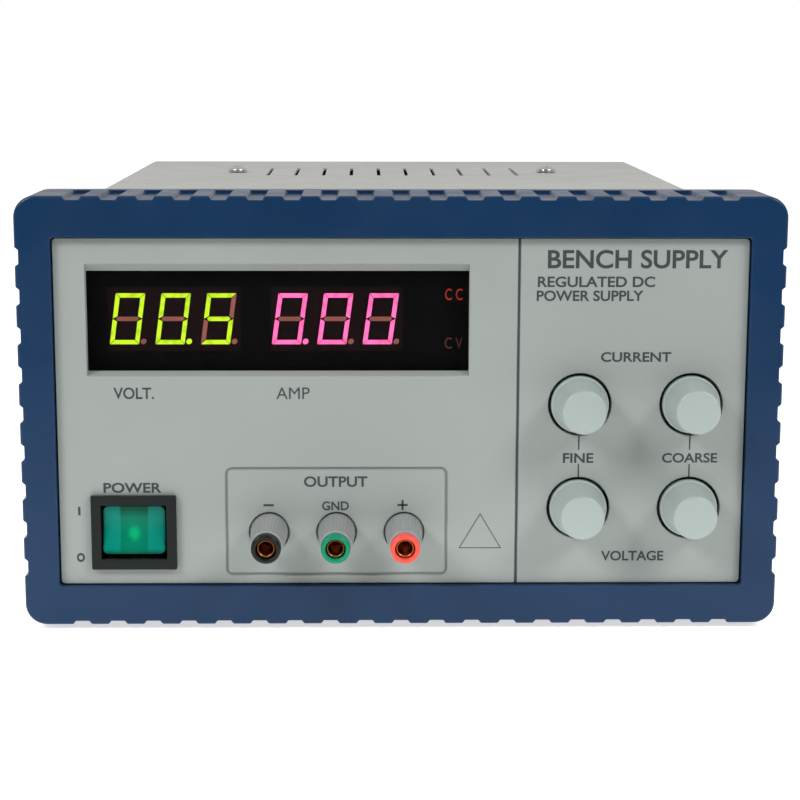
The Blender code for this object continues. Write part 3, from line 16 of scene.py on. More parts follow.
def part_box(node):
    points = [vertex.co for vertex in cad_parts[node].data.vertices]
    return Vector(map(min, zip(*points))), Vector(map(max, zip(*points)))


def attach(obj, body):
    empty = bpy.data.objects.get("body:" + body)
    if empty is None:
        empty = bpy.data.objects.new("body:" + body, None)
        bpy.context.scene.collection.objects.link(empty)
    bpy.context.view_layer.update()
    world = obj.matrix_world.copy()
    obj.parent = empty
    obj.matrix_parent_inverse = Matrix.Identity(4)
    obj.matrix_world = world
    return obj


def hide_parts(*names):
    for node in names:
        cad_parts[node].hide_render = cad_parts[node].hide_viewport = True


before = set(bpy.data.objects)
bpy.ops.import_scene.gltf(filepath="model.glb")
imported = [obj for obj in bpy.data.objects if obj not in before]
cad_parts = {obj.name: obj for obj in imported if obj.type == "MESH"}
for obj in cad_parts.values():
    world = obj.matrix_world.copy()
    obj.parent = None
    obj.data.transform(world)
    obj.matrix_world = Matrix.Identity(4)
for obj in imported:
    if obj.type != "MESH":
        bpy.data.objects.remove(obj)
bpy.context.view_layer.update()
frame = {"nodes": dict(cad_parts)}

bl_info = {
    "name": "Bench Power Supply",
    "version": (1, 0, 0),
    "blender": (4, 5, 0),
    "location": "3D Viewport > Sidebar > Bench Supply",
    "description": "Builds the visible surfaces of a bench power supply around its packed model",
    "category": "Add Mesh",
}

MERGE = 2e-6
FLAT_ANGLE = math.radians(0.6)
SHARP_ANGLE = math.radians(38)
POSTS = {"negative": "black", "ground": "green", "positive": "red"}
KNOBS = ("current_fine", "current_coarse", "voltage_fine", "voltage_coarse")


def tint(red, green, blue):
    """Return a linear colour from the 0 to 255 values that a screen shows."""
    shares = [value / 255 for value in (red, green, blue)]
    return tuple(s / 12.92 if s <= 0.04045 else ((s + 0.055) / 1.055) ** 2.4 for s in shares)


# ---------------------------------------------------------------- settings


def length(name, description, default):
    """Return a property that holds a length."""
    return FloatProperty(
        name=name, description=description, default=default, min=0.0, unit="LENGTH", precision=5
    )


def amount(name, description, default):
    """Return a property that holds an amount of light."""
    return FloatProperty(name=name, description=description, default=default, min=0.0)


def colour(name, description, default):
    """Return a property that holds a colour."""
    return FloatVectorProperty(
        name=name, description=description, default=default, size=3, min=0.0, max=1.0, subtype="COLOR"
    )


class SupplySizes(bpy.types.PropertyGroup):
    """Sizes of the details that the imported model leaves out."""

    frame_corner: length("Frame Corner", "Radius of the bumper frame's four corners", 0.006)
    frame_rim: length("Frame Rim", "Radius of the bumper frame's front rim", 0.0009)
    frame_rear_rim: length("Frame Rear Rim", "Radius of the bumper frame's rear edge", 0.0008)
    frame_lip: length("Frame Lip", "Depth of the lip in front of the panel", 0.008)
    side_band: length("Side Band", "Width of the frame beside the panel", 0.0098)
    top_band: length("Top Band", "Height of the frame above the panel", 0.0114)
    bottom_band: length("Bottom Band", "Height of the frame below the panel", 0.0112)
    opening_corner: length("Opening Corner", "Radius of the opening's corners", 0.0012)
    case_corner: length("Case Corner", "Radius of the case's long edges", 0.0025)
    clearance: length("Clearance", "Gap between pieces that touch", 0.0003)
    frame_edge: length("Frame Edge", "Rounding of the notches and of the opening", 0.00025)
    notch_depth: length("Notch Depth", "Depth of the grip notches", 0.0011)
    notch_width: length("Notch Width", "Width of a grip notch at the surface", 0.0053)
    notch_floor: length("Notch Floor", "Width of a grip notch at its floor", 0.0039)
    notch_length: length("Notch Length", "How far the grip notches run back", 0.0227)
    notch_pitch_long: length("Notch Pitch, Long Sides", "Pitch of the notches on top and bottom", 0.01005)
    notch_pitch_short: length("Notch Pitch, Short Sides", "Pitch of the notches on the sides", 0.011)
    notch_margin: length("Notch Margin", "Plain stretch between a corner and the first notch", 0.014)
    panel_edge: length("Panel Edge", "Rounding of the panel's edges", 0.00025)
    sheet_edge: length("Sheet Edge", "Rounding of the case's cut and folded edges", 0.0003)
    plastic_edge: length("Plastic Edge", "Rounding of the small black mouldings", 0.0003)
    ink: length("Ink", "Thickness of the printed labels", 0.00003)
    digit_height: length("Digit Height", "Height of a digit", 0.0144)
    digit_width: length("Digit Width", "Width of an upright digit", 0.0082)
    digit_pitch: length("Digit Pitch", "Distance from one digit to the next", 0.01275)
    segment: length("Segment", "Width of a lit segment", 0.00122)
    segment_gap: length("Segment Gap", "Gap between two segments", 0.00022)
    rocker_corner: length("Rocker Corner", "Radius of the rocker's corners", 0.0016)
    knob_tip: length("Knob Tip", "Radius of a knob's flat tip", 0.0062)
    knob_fillet: length("Knob Fillet", "Rounding of a knob's tip", 0.0009)
    cap_step: length("Cap Step", "How much smaller a cap is than the tip of its nut", 0.0004)
    nut_ribs: IntProperty(name="Nut Ribs", description="Ribs round a thumb nut", default=32, min=8)
    rib_depth: length("Rib Depth", "Depth of the grooves between the ribs", 0.00022)


class SupplyColours(bpy.types.PropertyGroup):
    """Colours of the finishes that are seen first."""

    frame: colour("Frame", "Bumper frame", tint(10, 46, 80))
    panel: colour("Panel", "Front panel", tint(150, 156, 152))
    case: colour("Case", "Painted sheet of the case", tint(173, 174, 168))
    ink: colour("Ink", "Printed labels", tint(50, 54, 56))
    knob: colour("Knob", "Knobs", tint(160, 172, 168))
    nut: colour("Nut", "Thumb nuts", tint(146, 150, 149))
    negative: colour("Negative", "Cap of the negative post", tint(20, 20, 20))
    ground: colour("Ground", "Cap of the ground post", tint(0, 132, 96))
    positive: colour("Positive", "Cap of the positive post", tint(230, 84, 72))
    brass: colour("Brass", "Studs of the posts", tint(216, 152, 92))
    volt_digits: colour("Volt Digits", "Lit digits of the volt display", tint(190, 232, 30))
    amp_digits: colour("Amp Digits", "Lit digits of the amp display", tint(255, 98, 164))
    unlit: colour("Unlit Segments", "Segments that are off", tint(206, 122, 106))
    rocker: colour("Rocker", "Translucent rocker", tint(0, 104, 84))
    glow: colour("Glow", "Lamp behind the rocker", tint(10, 184, 98))


class SupplyStage(bpy.types.PropertyGroup):
    """Camera and light."""

    lens: FloatProperty(name="Lens", description="Focal length on a 36 mm sensor", default=88.1, min=1.0)
    eye: FloatVectorProperty(
        name="Eye",
        description="Camera's place, from the middle of the bumper frame's lower front edge",
        default=(-0.0096, -0.537, 0.1621),
        subtype="TRANSLATION",
        unit="LENGTH",
    )
    turn: FloatProperty(name="Turn", description="Camera's turn to the right", default=0.017, subtype="ANGLE")
    pitch: FloatProperty(name="Pitch", description="Camera's tilt downwards", default=0.1792, subtype="ANGLE")
    roll: FloatProperty(name="Roll", description="Camera's roll", default=0.0022, subtype="ANGLE")
    surround: amount("Surround", "White light from above and behind", 0.66)
    front: amount("Front", "White light from the side of the controls", 0.14)
    key: amount("Key", "Power of the main softbox", 9.4)
    fill: amount("Fill", "Power of the second softbox", 8.0)
    floor_glow: amount("Floor Glow", "White light that the floor gives", 0.62)


# ---------------------------------------------------------------- shader helpers


def node(tree, kind, inputs=None, **settings):
    """Add a node. An input takes a plain value, or another node's output to be joined to it."""
    new = tree.nodes.new(kind)
    for key, value in settings.items():
        setattr(new, key, value)
    for key, value in (inputs or {}).items():
        if isinstance(value, bpy.types.NodeSocket):
            tree.links.new(value, new.inputs[key])
        else:
            new.inputs[key].default_value = value
    return new


def ramp(tree, value, low, high, to_low=0.0, to_high=1.0):
    """Return a value mapped smoothly from one range to another."""
    inputs = {"Value": value, "From Min": low, "From Max": high, "To Min": to_low, "To Max": to_high}
    return node(tree, "ShaderNodeMapRange", inputs, interpolation_type="SMOOTHSTEP").outputs["Result"]


def maths(tree, operation, first, second=0.0):
    """Return the result of one sum."""
    return node(tree, "ShaderNodeMath", {0: first, 1: second}, operation=operation).outputs[0]


def blend(tree, share, first, second):
    """Return a mix of two colours."""
    mix = node(tree, "ShaderNodeMix", data_type="RGBA")
    for name, value in (("Factor_Float", share), ("A_Color", first), ("B_Color", second)):
        socket = next(s for s in mix.inputs if s.identifier == name)
        if isinstance(value, bpy.types.NodeSocket):
            tree.links.new(value, socket)
        else:
            socket.default_value = value
    return next(s for s in mix.outputs if s.identifier == "Result_Color")


def object_place(tree):
    """Return the point on the piece, in metres."""
    return node(tree, "ShaderNodeTexCoord").outputs["Object"]


def shared_effect(name, inputs, outputs):
    """Start a node group and return its tree, its input sockets and its output node."""
    tree = bpy.data.node_groups.new(name, "ShaderNodeTree")
    for label, kind, default in inputs:
        socket = tree.interface.new_socket(name=label, in_out="INPUT", socket_type=kind)
        socket.default_value = default
    for label, kind in outputs:
        tree.interface.new_socket(name=label, in_out="OUTPUT", socket_type=kind)
    return tree, tree.nodes.new("NodeGroupInput").outputs, tree.nodes.new("NodeGroupOutput").inputs


def grained_surface():
    """Grain, faint clouding of the colour and handling marks in the gloss."""
    name = "grained_surface"
    if name in bpy.data.node_groups:
        return bpy.data.node_groups[name]
    tree, given, out = shared_effect(
        name,
        (
            ("Colour", "NodeSocketColor", (0.5, 0.5, 0.5, 1.0)),
            ("Drift", "NodeSocketFloat", 0.05),
            ("Grain Scale", "NodeSocketFloat", 1500.0),
            ("Roughness", "NodeSocketFloat", 0.5),
            ("Spread", "NodeSocketFloat", 0.05),
        ),
        (("Colour", "NodeSocketColor"), ("Roughness", "NodeSocketFloat"), ("Height", "NodeSocketFloat")),
    )
    place = object_place(tree)
    grain = node(tree, "ShaderNodeTexNoise", {"Vector": place, "Scale": given["Grain Scale"], "Detail": 2.0})
    clouds = node(tree, "ShaderNodeTexNoise", {"Vector": place, "Scale": 22.0, "Detail": 3.0})
    smear_inputs = {"Vector": place, "Scale": 70.0, "Detail": 4.0, "Distortion": 0.6}
    smears = node(tree, "ShaderNodeTexNoise", smear_inputs)
    drift = maths(tree, "MULTIPLY", ramp(tree, clouds.outputs[0], 0.3, 0.7, -1.0, 1.0), given["Drift"])
    brightness = maths(tree, "ADD", 1.0, drift)
    tinted = node(
        tree, "ShaderNodeVectorMath", {"Vector": given["Colour"], "Scale": brightness}, operation="SCALE"
    )
    marks = maths(tree, "MULTIPLY", ramp(tree, smears.outputs[0], 0.35, 0.7, -1.0, 1.0), given["Spread"])
    tree.links.new(tinted.outputs[0], out["Colour"])
    tree.links.new(maths(tree, "ADD", given["Roughness"], marks), out["Roughness"])
    tree.links.new(grain.outputs[0], out["Height"])
    return tree


def settled_dust():
    """Pale dust on what faces upwards, thinner where it was touched."""
    name = "settled_dust"
    if name in bpy.data.node_groups:
        return bpy.data.node_groups[name]
    tree, given, out = shared_effect(
        name,
        (
            ("Colour", "NodeSocketColor", (0.5, 0.5, 0.5, 1.0)),
            ("Roughness", "NodeSocketFloat", 0.5),
            ("Amount", "NodeSocketFloat", 0.2),
        ),
        (("Colour", "NodeSocketColor"), ("Roughness", "NodeSocketFloat")),
    )
    facing = node(tree, "ShaderNodeSeparateXYZ", {0: node(tree, "ShaderNodeNewGeometry").outputs["Normal"]})
    upward = ramp(tree, facing.outputs["Z"], 0.45, 0.95)
    speckle = node(tree, "ShaderNodeTexNoise", {"Vector": object_place(tree), "Scale": 420.0, "Detail": 5.0})
    patches = node(tree, "ShaderNodeTexNoise", {"Vector": object_place(tree), "Scale": 14.0, "Detail": 3.0})
    cover = maths(
        tree,
        "MULTIPLY",
        ramp(tree, speckle.outputs[0], 0.35, 0.75, 0.35, 1.0),
        ramp(tree, patches.outputs[0], 0.3, 0.7, 0.4, 1.0),
    )
    share = maths(tree, "MULTIPLY", maths(tree, "MULTIPLY", upward, cover), given["Amount"])
    pale = (*tint(206, 203, 196), 1.0)
    tree.links.new(blend(tree, share, given["Colour"], pale), out["Colour"])
    rough = maths(tree, "ADD", given["Roughness"], maths(tree, "MULTIPLY", share, 0.4))
    tree.links.new(rough, out["Roughness"])
    return tree


def rubbed_edges():
    """Lighter colour along the edges: partly wear where hands and benches rub, partly a painted highlight
    along the rims.
    """
    name = "rubbed_edges"
    if name in bpy.data.node_groups:
        return bpy.data.node_groups[name]
    tree, given, out = shared_effect(
        name,
        (
            ("Colour", "NodeSocketColor", (0.5, 0.5, 0.5, 1.0)),
            ("Wear And Highlight", "NodeSocketColor", (0.7, 0.7, 0.7, 1.0)),
            ("Width", "NodeSocketFloat", 0.0006),
            ("Amount", "NodeSocketFloat", 0.3),
        ),
        (("Colour", "NodeSocketColor"),),
    )
    eased = node(tree, "ShaderNodeBevel", {"Radius": given["Width"]}, samples=4)
    true = node(tree, "ShaderNodeNewGeometry").outputs["Normal"]
    turned = node(tree, "ShaderNodeVectorMath", {0: eased.outputs[0], 1: true}, operation="DOT_PRODUCT")
    # Edges found by the bevel get a lighter colour: partly wear, partly a painted highlight.
    edge = ramp(tree, turned.outputs["Value"], 0.995, 0.86)
    broken = node(tree, "ShaderNodeTexNoise", {"Vector": object_place(tree), "Scale": 260.0, "Detail": 4.0})
    share = maths(tree, "MULTIPLY", edge, ramp(tree, broken.outputs[0], 0.3, 0.65, 0.3, 1.0))
    share = maths(tree, "MULTIPLY", share, given["Amount"])
    tree.links.new(blend(tree, share, given["Colour"], given["Wear And Highlight"]), out["Colour"])
    return tree


def fine_lines():
    """Soft parallel lines, for laminations, windings, brushed metal and ribs."""
    name = "fine_lines"
    if name in bpy.data.node_groups:
        return bpy.data.node_groups[name]
    tree, given, out = shared_effect(
        name,
        (
            ("Direction", "NodeSocketVector", (0.0, 1.0, 0.0)),
            ("Pitch", "NodeSocketFloat", 0.001),
            ("Wander", "NodeSocketFloat", 0.15),
        ),
        (("Lines", "NodeSocketFloat"),),
    )
    place = object_place(tree)
    along = node(tree, "ShaderNodeVectorMath", {0: place, 1: given["Direction"]}, operation="DOT_PRODUCT")
    noise = node(tree, "ShaderNodeTexNoise", {"Vector": place, "Scale": 120.0, "Detail": 3.0})
    steps = maths(tree, "DIVIDE", along.outputs["Value"], given["Pitch"])
    wandered = maths(tree, "ADD", steps, maths(tree, "MULTIPLY", noise.outputs[0], given["Wander"]))
    tree.links.new(maths(tree, "PINGPONG", wandered, 0.5), out["Lines"])
    return tree


def made(name):
    """Return a finish that this script has already made, or None."""
    return bpy.data.materials.get(f"{name}_finish")


def new_finish(name):
    """Return a new material, its tree and its shader."""
    material = bpy.data.materials.new(f"{name}_finish")
    material.use_nodes = True
    return material, material.node_tree, material.node_tree.nodes["Principled BSDF"]


def surface(
    name, base, roughness, metallic=0.0, drift=0.05, spread=0.05, grain=1500.0, depth=0.00001, dust=0.0,
    wear_and_highlight=None, pattern=None, **sockets
):
    """Return a finish with grain, clouding and handling marks.

    It can also have dust, lighter edges that are partly wear and partly a painted highlight as (colour,
    width, amount), and lines as (second colour, direction, pitch, wander). Other sockets of the shader are
    given by their names.
    """
    if made(name):
        return made(name)
    material, tree, shader = new_finish(name)
    colour_in = (*base, 1.0)
    lines = None
    if pattern:
        second, direction, pitch, wander = pattern
        inputs = {"Direction": direction, "Pitch": pitch, "Wander": wander}
        lines = node(tree, "ShaderNodeGroup", inputs, node_tree=fine_lines()).outputs["Lines"]
        colour_in = blend(tree, maths(tree, "MULTIPLY", lines, 2.0), (*second, 1.0), colour_in)
    # Lighter edges: partly wear, partly a painted highlight.
    if wear_and_highlight:
        wear_and_highlight_colour, width, amount = wear_and_highlight
        inputs = {"Colour": colour_in, "Wear And Highlight": (*wear_and_highlight_colour, 1.0), "Width": width, "Amount": amount}
        colour_in = node(tree, "ShaderNodeGroup", inputs, node_tree=rubbed_edges()).outputs["Colour"]
    inputs = {
        "Colour": colour_in, "Drift": drift, "Grain Scale": grain, "Roughness": roughness, "Spread": spread
    }
    grained = node(tree, "ShaderNodeGroup", inputs, node_tree=grained_surface()).outputs
    colour_out, roughness_out = grained["Colour"], grained["Roughness"]
    if dust:
        inputs = {"Colour": colour_out, "Roughness": roughness_out, "Amount": dust}
        dusty = node(tree, "ShaderNodeGroup", inputs, node_tree=settled_dust()).outputs
        colour_out, roughness_out = dusty["Colour"], dusty["Roughness"]
    height = grained["Height"]
    if lines:
        height = maths(tree, "ADD", height, lines)
    bump = node(tree, "ShaderNodeBump", {"Height": height, "Distance": depth, "Strength": 1.0})
    tree.links.new(colour_out, shader.inputs["Base Color"])
    tree.links.new(roughness_out, shader.inputs["Roughness"])
    tree.links.new(bump.outputs[0], shader.inputs["Normal"])
    shader.inputs["Metallic"].default_value = metallic
    for key, value in sockets.items():
        shader.inputs[key.replace("_", " ").title().replace("Ior", "IOR")].default_value = value
    return material


def lit(name, base, strength):
    """Return the finish of a lit piece, whose glow is a little uneven."""
    if made(name):
        return made(name)
    material, tree, shader = new_finish(name)
    noise = node(tree, "ShaderNodeTexNoise", {"Vector": object_place(tree), "Scale": 420.0, "Detail": 1.0})
    dim = (*[value * 0.72 for value in base], 1.0)
    glow = blend(tree, ramp(tree, noise.outputs[0], 0.3, 0.6), dim, (*base, 1.0))
    tree.links.new(glow, shader.inputs["Emission Color"])
    tree.links.new(glow, shader.inputs["Base Color"])
    shader.inputs["Emission Strength"].default_value = strength
    shader.inputs["Roughness"].default_value = 0.5
    return material


# ---------------------------------------------------------------- finishes


def colours():
    """Return the colour settings."""
    return bpy.context.scene.supply_colours


def frame_blue():
    """Satin blue rubber-like moulding, a little lighter along its edges: partly wear, partly a painted
    highlight.
    """
    return surface(
        "frame_blue", colours().frame, 0.34, drift=0.05, spread=0.05, grain=2400.0, depth=0.000008, dust=0.05,
        # The lighter edge colour is partly wear and partly a painted highlight along the rims.
        wear_and_highlight=(tint(56, 88, 124), 0.0007, 0.3), specular_ior_level=0.28,
    )


def panel_grey():
    """Fine-grained moulded panel."""
    return surface(
        "panel_grey", colours().panel, 0.5, drift=0.025, spread=0.05, grain=2600.0, depth=0.000012,
        specular_ior_level=0.35,
    )


def case_paint():
    """Baked paint with a light orange peel."""
    return surface(
        "case_paint", colours().case, 0.45, drift=0.03, spread=0.07, grain=1500.0, depth=0.00003, dust=0.25,
        # The lighter edge colour is partly wear and partly a painted highlight.
        wear_and_highlight=(tint(205, 204, 198), 0.0005, 0.3),
    )


def divider_groove_shade():
    """Painted shade: dark paint on the floor of the panel's dividing groove, where shade falls."""
    return surface("divider_groove_shade", tint(52, 62, 64), 0.6, drift=0.08, grain=3000.0, depth=0.000004)


def output_groove_shade():
    """Painted shade: grey paint on the floor of the shallow groove round the output posts, where shade falls.
    """
    return surface("output_groove_shade", tint(112, 118, 116), 0.6, drift=0.08, grain=3000.0, depth=0.000004)


def label_ink():
    """Matt printing ink."""
    return surface("label_ink", colours().ink, 0.65, drift=0.08, grain=5000.0, depth=0.000004)


def window_lens():
    """Smoked lens that lets part of the light through."""
    if made("window_lens"):
        return made("window_lens")
    material, tree, shader = new_finish("window_lens")
    marks = node(tree, "ShaderNodeTexNoise", {"Vector": object_place(tree), "Scale": 60.0, "Detail": 5.0})
    tree.links.new(ramp(tree, marks.outputs[0], 0.35, 0.7, 0.06, 0.12), shader.inputs["Roughness"])
    tree.links.new(ramp(tree, marks.outputs[0], 0.3, 0.75, 0.20, 0.24), shader.inputs["Alpha"])
    shader.inputs["Base Color"].default_value = (*tint(10, 9, 9), 1.0)
    shader.inputs["Specular IOR Level"].default_value = 0.15
    return material


def display_dark():
    """Dark reflector of the display modules."""
    return surface("display_dark", tint(36, 20, 22), 0.7, grain=2000.0, specular_ior_level=0.1)


def mask_black():
    """Black print behind the lens."""
    return surface("mask_black", tint(9, 9, 9), 0.75, grain=2500.0, depth=0.000004, specular_ior_level=0.1)


def unlit_segment():
    """Diffuse segment that is off."""
    return surface("unlit_segment", colours().unlit, 0.5, drift=0.12, grain=1800.0)


def switch_black():
    """Fine-grained black moulding."""
    return surface(
        "switch_black", tint(22, 27, 26), 0.42, drift=0.08, grain=3200.0, depth=0.000015, dust=0.12,
        # The lighter edge colour is partly wear and partly a painted highlight.
        wear_and_highlight=(tint(60, 60, 62), 0.0004, 0.2), specular_ior_level=0.18,
    )


def fan_black():
    """Glossier black moulding of the fan."""
    return surface("fan_black", tint(24, 24, 26), 0.36, drift=0.08, grain=1200.0, depth=0.00001, dust=0.35)


def knob_grey():
    """Smooth pale moulding of the knobs."""
    return surface(
        "knob_grey", colours().knob, 0.4, drift=0.03, spread=0.05, grain=1900.0, depth=0.000006,
        subsurface_weight=0.12, subsurface_scale=0.002,
    )


def nut_grey():
    """Grey moulding of the thumb nuts."""
    return surface("nut_grey", colours().nut, 0.45, drift=0.04, grain=2400.0, depth=0.00001)


def cap_finish(name):
    """Coloured moulding of one post's cap."""
    return surface(
        f"cap_{name}", getattr(colours(), name), 0.34, drift=0.05, grain=2200.0, depth=0.000006,
        subsurface_weight=0.1, subsurface_scale=0.001, specular_ior_level=0.25,
    )


def brass():
    """Turned brass, dulled in patches."""
    return surface(
        "brass", colours().brass, 0.3, metallic=1.0, drift=0.16, spread=0.12, grain=900.0, depth=0.00001,
        pattern=(tint(150, 84, 34), (0.0, 1.0, 0.0), 0.0002, 0.4),
    )


def zinc():
    """Zinc-plated steel."""
    return surface(
        "zinc", tint(196, 198, 196), 0.3, metallic=1.0, drift=0.12, spread=0.14, grain=700.0, depth=0.000006
    )


def pressed_steel():
    """Dull pressed covers of the potentiometers."""
    return surface(
        "pressed_steel", tint(104, 108, 106), 0.6, metallic=0.6, drift=0.1, grain=900.0, depth=0.00001
    )


def core_steel():
    """Varnished steel laminations."""
    return surface(
        "core_steel", tint(92, 84, 76), 0.45, metallic=0.7, drift=0.15, grain=600.0, depth=0.00008,
        pattern=(tint(40, 36, 33), (0.0, 1.0, 0.0), 0.0005, 0.1), coat_weight=0.3,
    )


def winding_tape():
    """Overlapping turns of yellow tape on the winding."""
    return surface(
        "winding_tape", tint(206, 164, 48), 0.3, drift=0.1, grain=500.0, depth=0.0001,
        pattern=(tint(160, 116, 26), (0.3, 0.0, 1.0), 0.011, 0.2), coat_weight=0.4,
    )


def capacitor_sleeve():
    """Shrunk sleeve of the capacitors."""
    return surface(
        "capacitor_sleeve", tint(22, 34, 62), 0.25, drift=0.1, grain=300.0, depth=0.00004,
        pattern=(tint(16, 24, 46), (0.0, 0.0, 1.0), 0.009, 0.3),
    )


def circuit_board():
    """Green solder mask over tracks."""
    return surface(
        "circuit_board", tint(18, 88, 50), 0.32, drift=0.2, grain=420.0, depth=0.00004,
        pattern=(tint(34, 116, 66), (1.0, 0.0, 0.6), 0.0034, 1.6),
    )


def component_black():
    """Epoxy body of small parts."""
    return surface("component_black", tint(26, 26, 28), 0.55, drift=0.1, grain=2600.0, depth=0.00002)


def heat_sink_aluminium():
    """Extruded aluminium with drawing lines."""
    return surface(
        "heat_sink_aluminium", tint(168, 170, 172), 0.36, metallic=1.0, drift=0.08, spread=0.1, grain=800.0,
        depth=0.00003, pattern=(tint(140, 142, 144), (1.0, 0.0, 0.0), 0.0004, 0.6),
    )


def foot_rubber():
    """Matt black rubber."""
    return surface("foot_rubber", tint(22, 22, 22), 0.75, drift=0.15, grain=2200.0, depth=0.00004, dust=0.2)


def fuse_glass():
    """Glass tube of the fuse."""
    return surface(
        "fuse_glass", tint(214, 222, 220), 0.08, drift=0.02, grain=300.0, depth=0.000002, alpha=0.5
    )


def slider_white():
    """White lever of the voltage selector."""
    return surface("slider_white", tint(222, 220, 212), 0.4, drift=0.05, grain=1800.0)


def mode_lit():
    """Mode lamp that is on."""
    return lit("mode_lit", tint(225, 60, 48), 0.36)


def mode_dim():
    """Mode lamp that only glimmers."""
    return lit("mode_dim", tint(120, 62, 58), 0.24)


def rocker_green():
    """Translucent rocker: ribs show at its sides and a lamp glows behind its middle; painted shade darkens
    its pressed-in top, its outer sides and its lower edge.
    """
    if made("rocker_green"):
        return made("rocker_green")
    material, tree, shader = new_finish("rocker_green")
    low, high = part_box("power_rocker")
    half = (high - low) / 2
    centre = (low + high) / 2
    place = node(tree, "ShaderNodeMapping", {"Vector": object_place(tree), "Location": -centre})
    spread = node(tree, "ShaderNodeSeparateXYZ", {0: place.outputs[0]})
    across = maths(tree, "ABSOLUTE", spread.outputs["X"])
    ribs = ramp(tree, across, half.x * 0.36, half.x * 0.44)
    # Masks of painted shade: the outer sides, the pressed-in top and the lower edge.
    flank_shade = ramp(tree, across, half.x * 0.80, half.x * 0.90)
    upper_shade = ramp(tree, spread.outputs["Z"], half.z * 0.45, half.z * 0.85)
    lower = ramp(tree, spread.outputs["Z"], half.z * -0.70, half.z * -0.95)
    lamp = node(tree, "ShaderNodeMapping", {"Vector": place.outputs[0]})
    lamp.inputs["Location"].default_value = (0.0, 0.0, half.z * 0.10)
    lamp.inputs["Scale"].default_value = (1.0, 0.0, 0.8)
    far = node(tree, "ShaderNodeVectorMath", {0: lamp.outputs[0]}, operation="LENGTH").outputs["Value"]
    hot = ramp(tree, far, half.x * 0.24, half.x * 0.05)
    halo = ramp(tree, far, half.x * 0.85, half.x * 0.10)
    body = (*colours().rocker, 1.0)
    # Darker copy of the rocker's colour, used as painted shade.
    rocker_shade = (*[value * 0.45 for value in colours().rocker], 1.0)
    pale = (*tint(4, 128, 112), 1.0)
    base = blend(tree, ribs, body, pale)
    column = maths(tree, "MULTIPLY", upper_shade, maths(tree, "SUBTRACT", 1.0, ribs))
    # Paint shade into the middle of the top, the outer sides and the lower edge.
    for share in (maths(tree, "MULTIPLY", column, 0.8), maths(tree, "MULTIPLY", flank_shade, 0.5), lower):
        base = blend(tree, share, base, rocker_shade)
    grained = node(
        tree,
        "ShaderNodeGroup",
        {"Colour": base, "Drift": 0.12, "Grain Scale": 700.0, "Roughness": 0.3, "Spread": 0.04},
        node_tree=grained_surface(),
    ).outputs
    glow = blend(tree, maths(tree, "MULTIPLY", halo, 0.30), (0.0, 0.0, 0.0, 1.0), (*tint(0, 170, 110), 1.0))
    glow = blend(tree, hot, glow, (*colours().glow, 1.0))
    bump = node(tree, "ShaderNodeBump", {"Height": grained["Height"], "Distance": 0.00001})
    tree.links.new(grained["Colour"], shader.inputs["Base Color"])
    tree.links.new(grained["Roughness"], shader.inputs["Roughness"])
    tree.links.new(bump.outputs[0], shader.inputs["Normal"])
    tree.links.new(glow, shader.inputs["Emission Color"])
    shader.inputs["Emission Strength"].default_value = 0.6
    shader.inputs["Specular IOR Level"].default_value = 0.12
    shader.inputs["Subsurface Weight"].default_value = 0.3
    shader.inputs["Subsurface Scale"].default_value = 0.002
    return material


# ---------------------------------------------------------------- shape helpers


def sizes():
    """Return the size settings."""
    return bpy.context.scene.supply_sizes


def middle(name):
    """Return the middle of a CAD node."""
    low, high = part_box(name)
    return (low + high) / 2


def piece(name, bm, material, body="cabinet", replaces=(), crease=SHARP_ANGLE, weighted=False):
    """Turn a bmesh into a finished piece that rides on a body."""
    mesh = bpy.data.meshes.new(name)
    bm.to_mesh(mesh)
    bm.free()
    mesh.shade_smooth()
    mesh.set_sharp_from_angle(angle=crease)
    for finish in material if isinstance(material, tuple) else (material,):
        mesh.materials.append(finish)
    obj = bpy.data.objects.new(name, mesh)
    bpy.context.scene.collection.objects.link(obj)
    if weighted:
        obj.modifiers.new("even_shading", "WEIGHTED_NORMAL").keep_sharp = True
    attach(obj, body)
    if replaces:
        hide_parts(*replaces)
    return obj


def round_edges(bm, edges, radius, segments=2, clamp=True):
    """Round edges of a bmesh."""
    bmesh.ops.bevel(
        bm, geom=edges, offset=radius, offset_type="OFFSET", segments=segments, profile=0.5, affect="EDGES",
        clamp_overlap=clamp, material=-1,
    )
    bmesh.ops.dissolve_degenerate(bm, dist=MERGE, edges=bm.edges)


def sharp_edges(bm, above=SHARP_ANGLE):
    """Return the edges where the surface turns sharply."""
    return [e for e in bm.edges if len(e.link_faces) == 2 and e.calc_face_angle(0.0) > above]


def merged_copy(name):
    """Return a copy of a CAD node's mesh with its triangles merged into faces."""
    bm = bmesh.new()
    bm.from_mesh(frame["nodes"][name].data)
    bmesh.ops.remove_doubles(bm, verts=bm.verts, dist=MERGE)
    bmesh.ops.dissolve_limit(bm, angle_limit=FLAT_ANGLE, verts=bm.verts, edges=bm.edges)
    return bm


def rounded_piece(name, material, radius, body="cabinet", segments=2, clamp=True):
    """Make the finished piece of a CAD node whose only change is its rounded edges."""
    bm = merged_copy(name)
    round_edges(bm, sharp_edges(bm), radius, segments, clamp)
    return piece(f"{name}_shell", bm, material, body, (name,), weighted=True)


def block(bm, low, high):
    """Add a box between two corners and return its vertices."""
    low, high = Vector(low), Vector(high)
    matrix = Matrix.Translation((low + high) / 2) @ Matrix.Diagonal((*(high - low), 1.0))
    return bmesh.ops.create_cube(bm, size=1.0, matrix=matrix)["verts"]


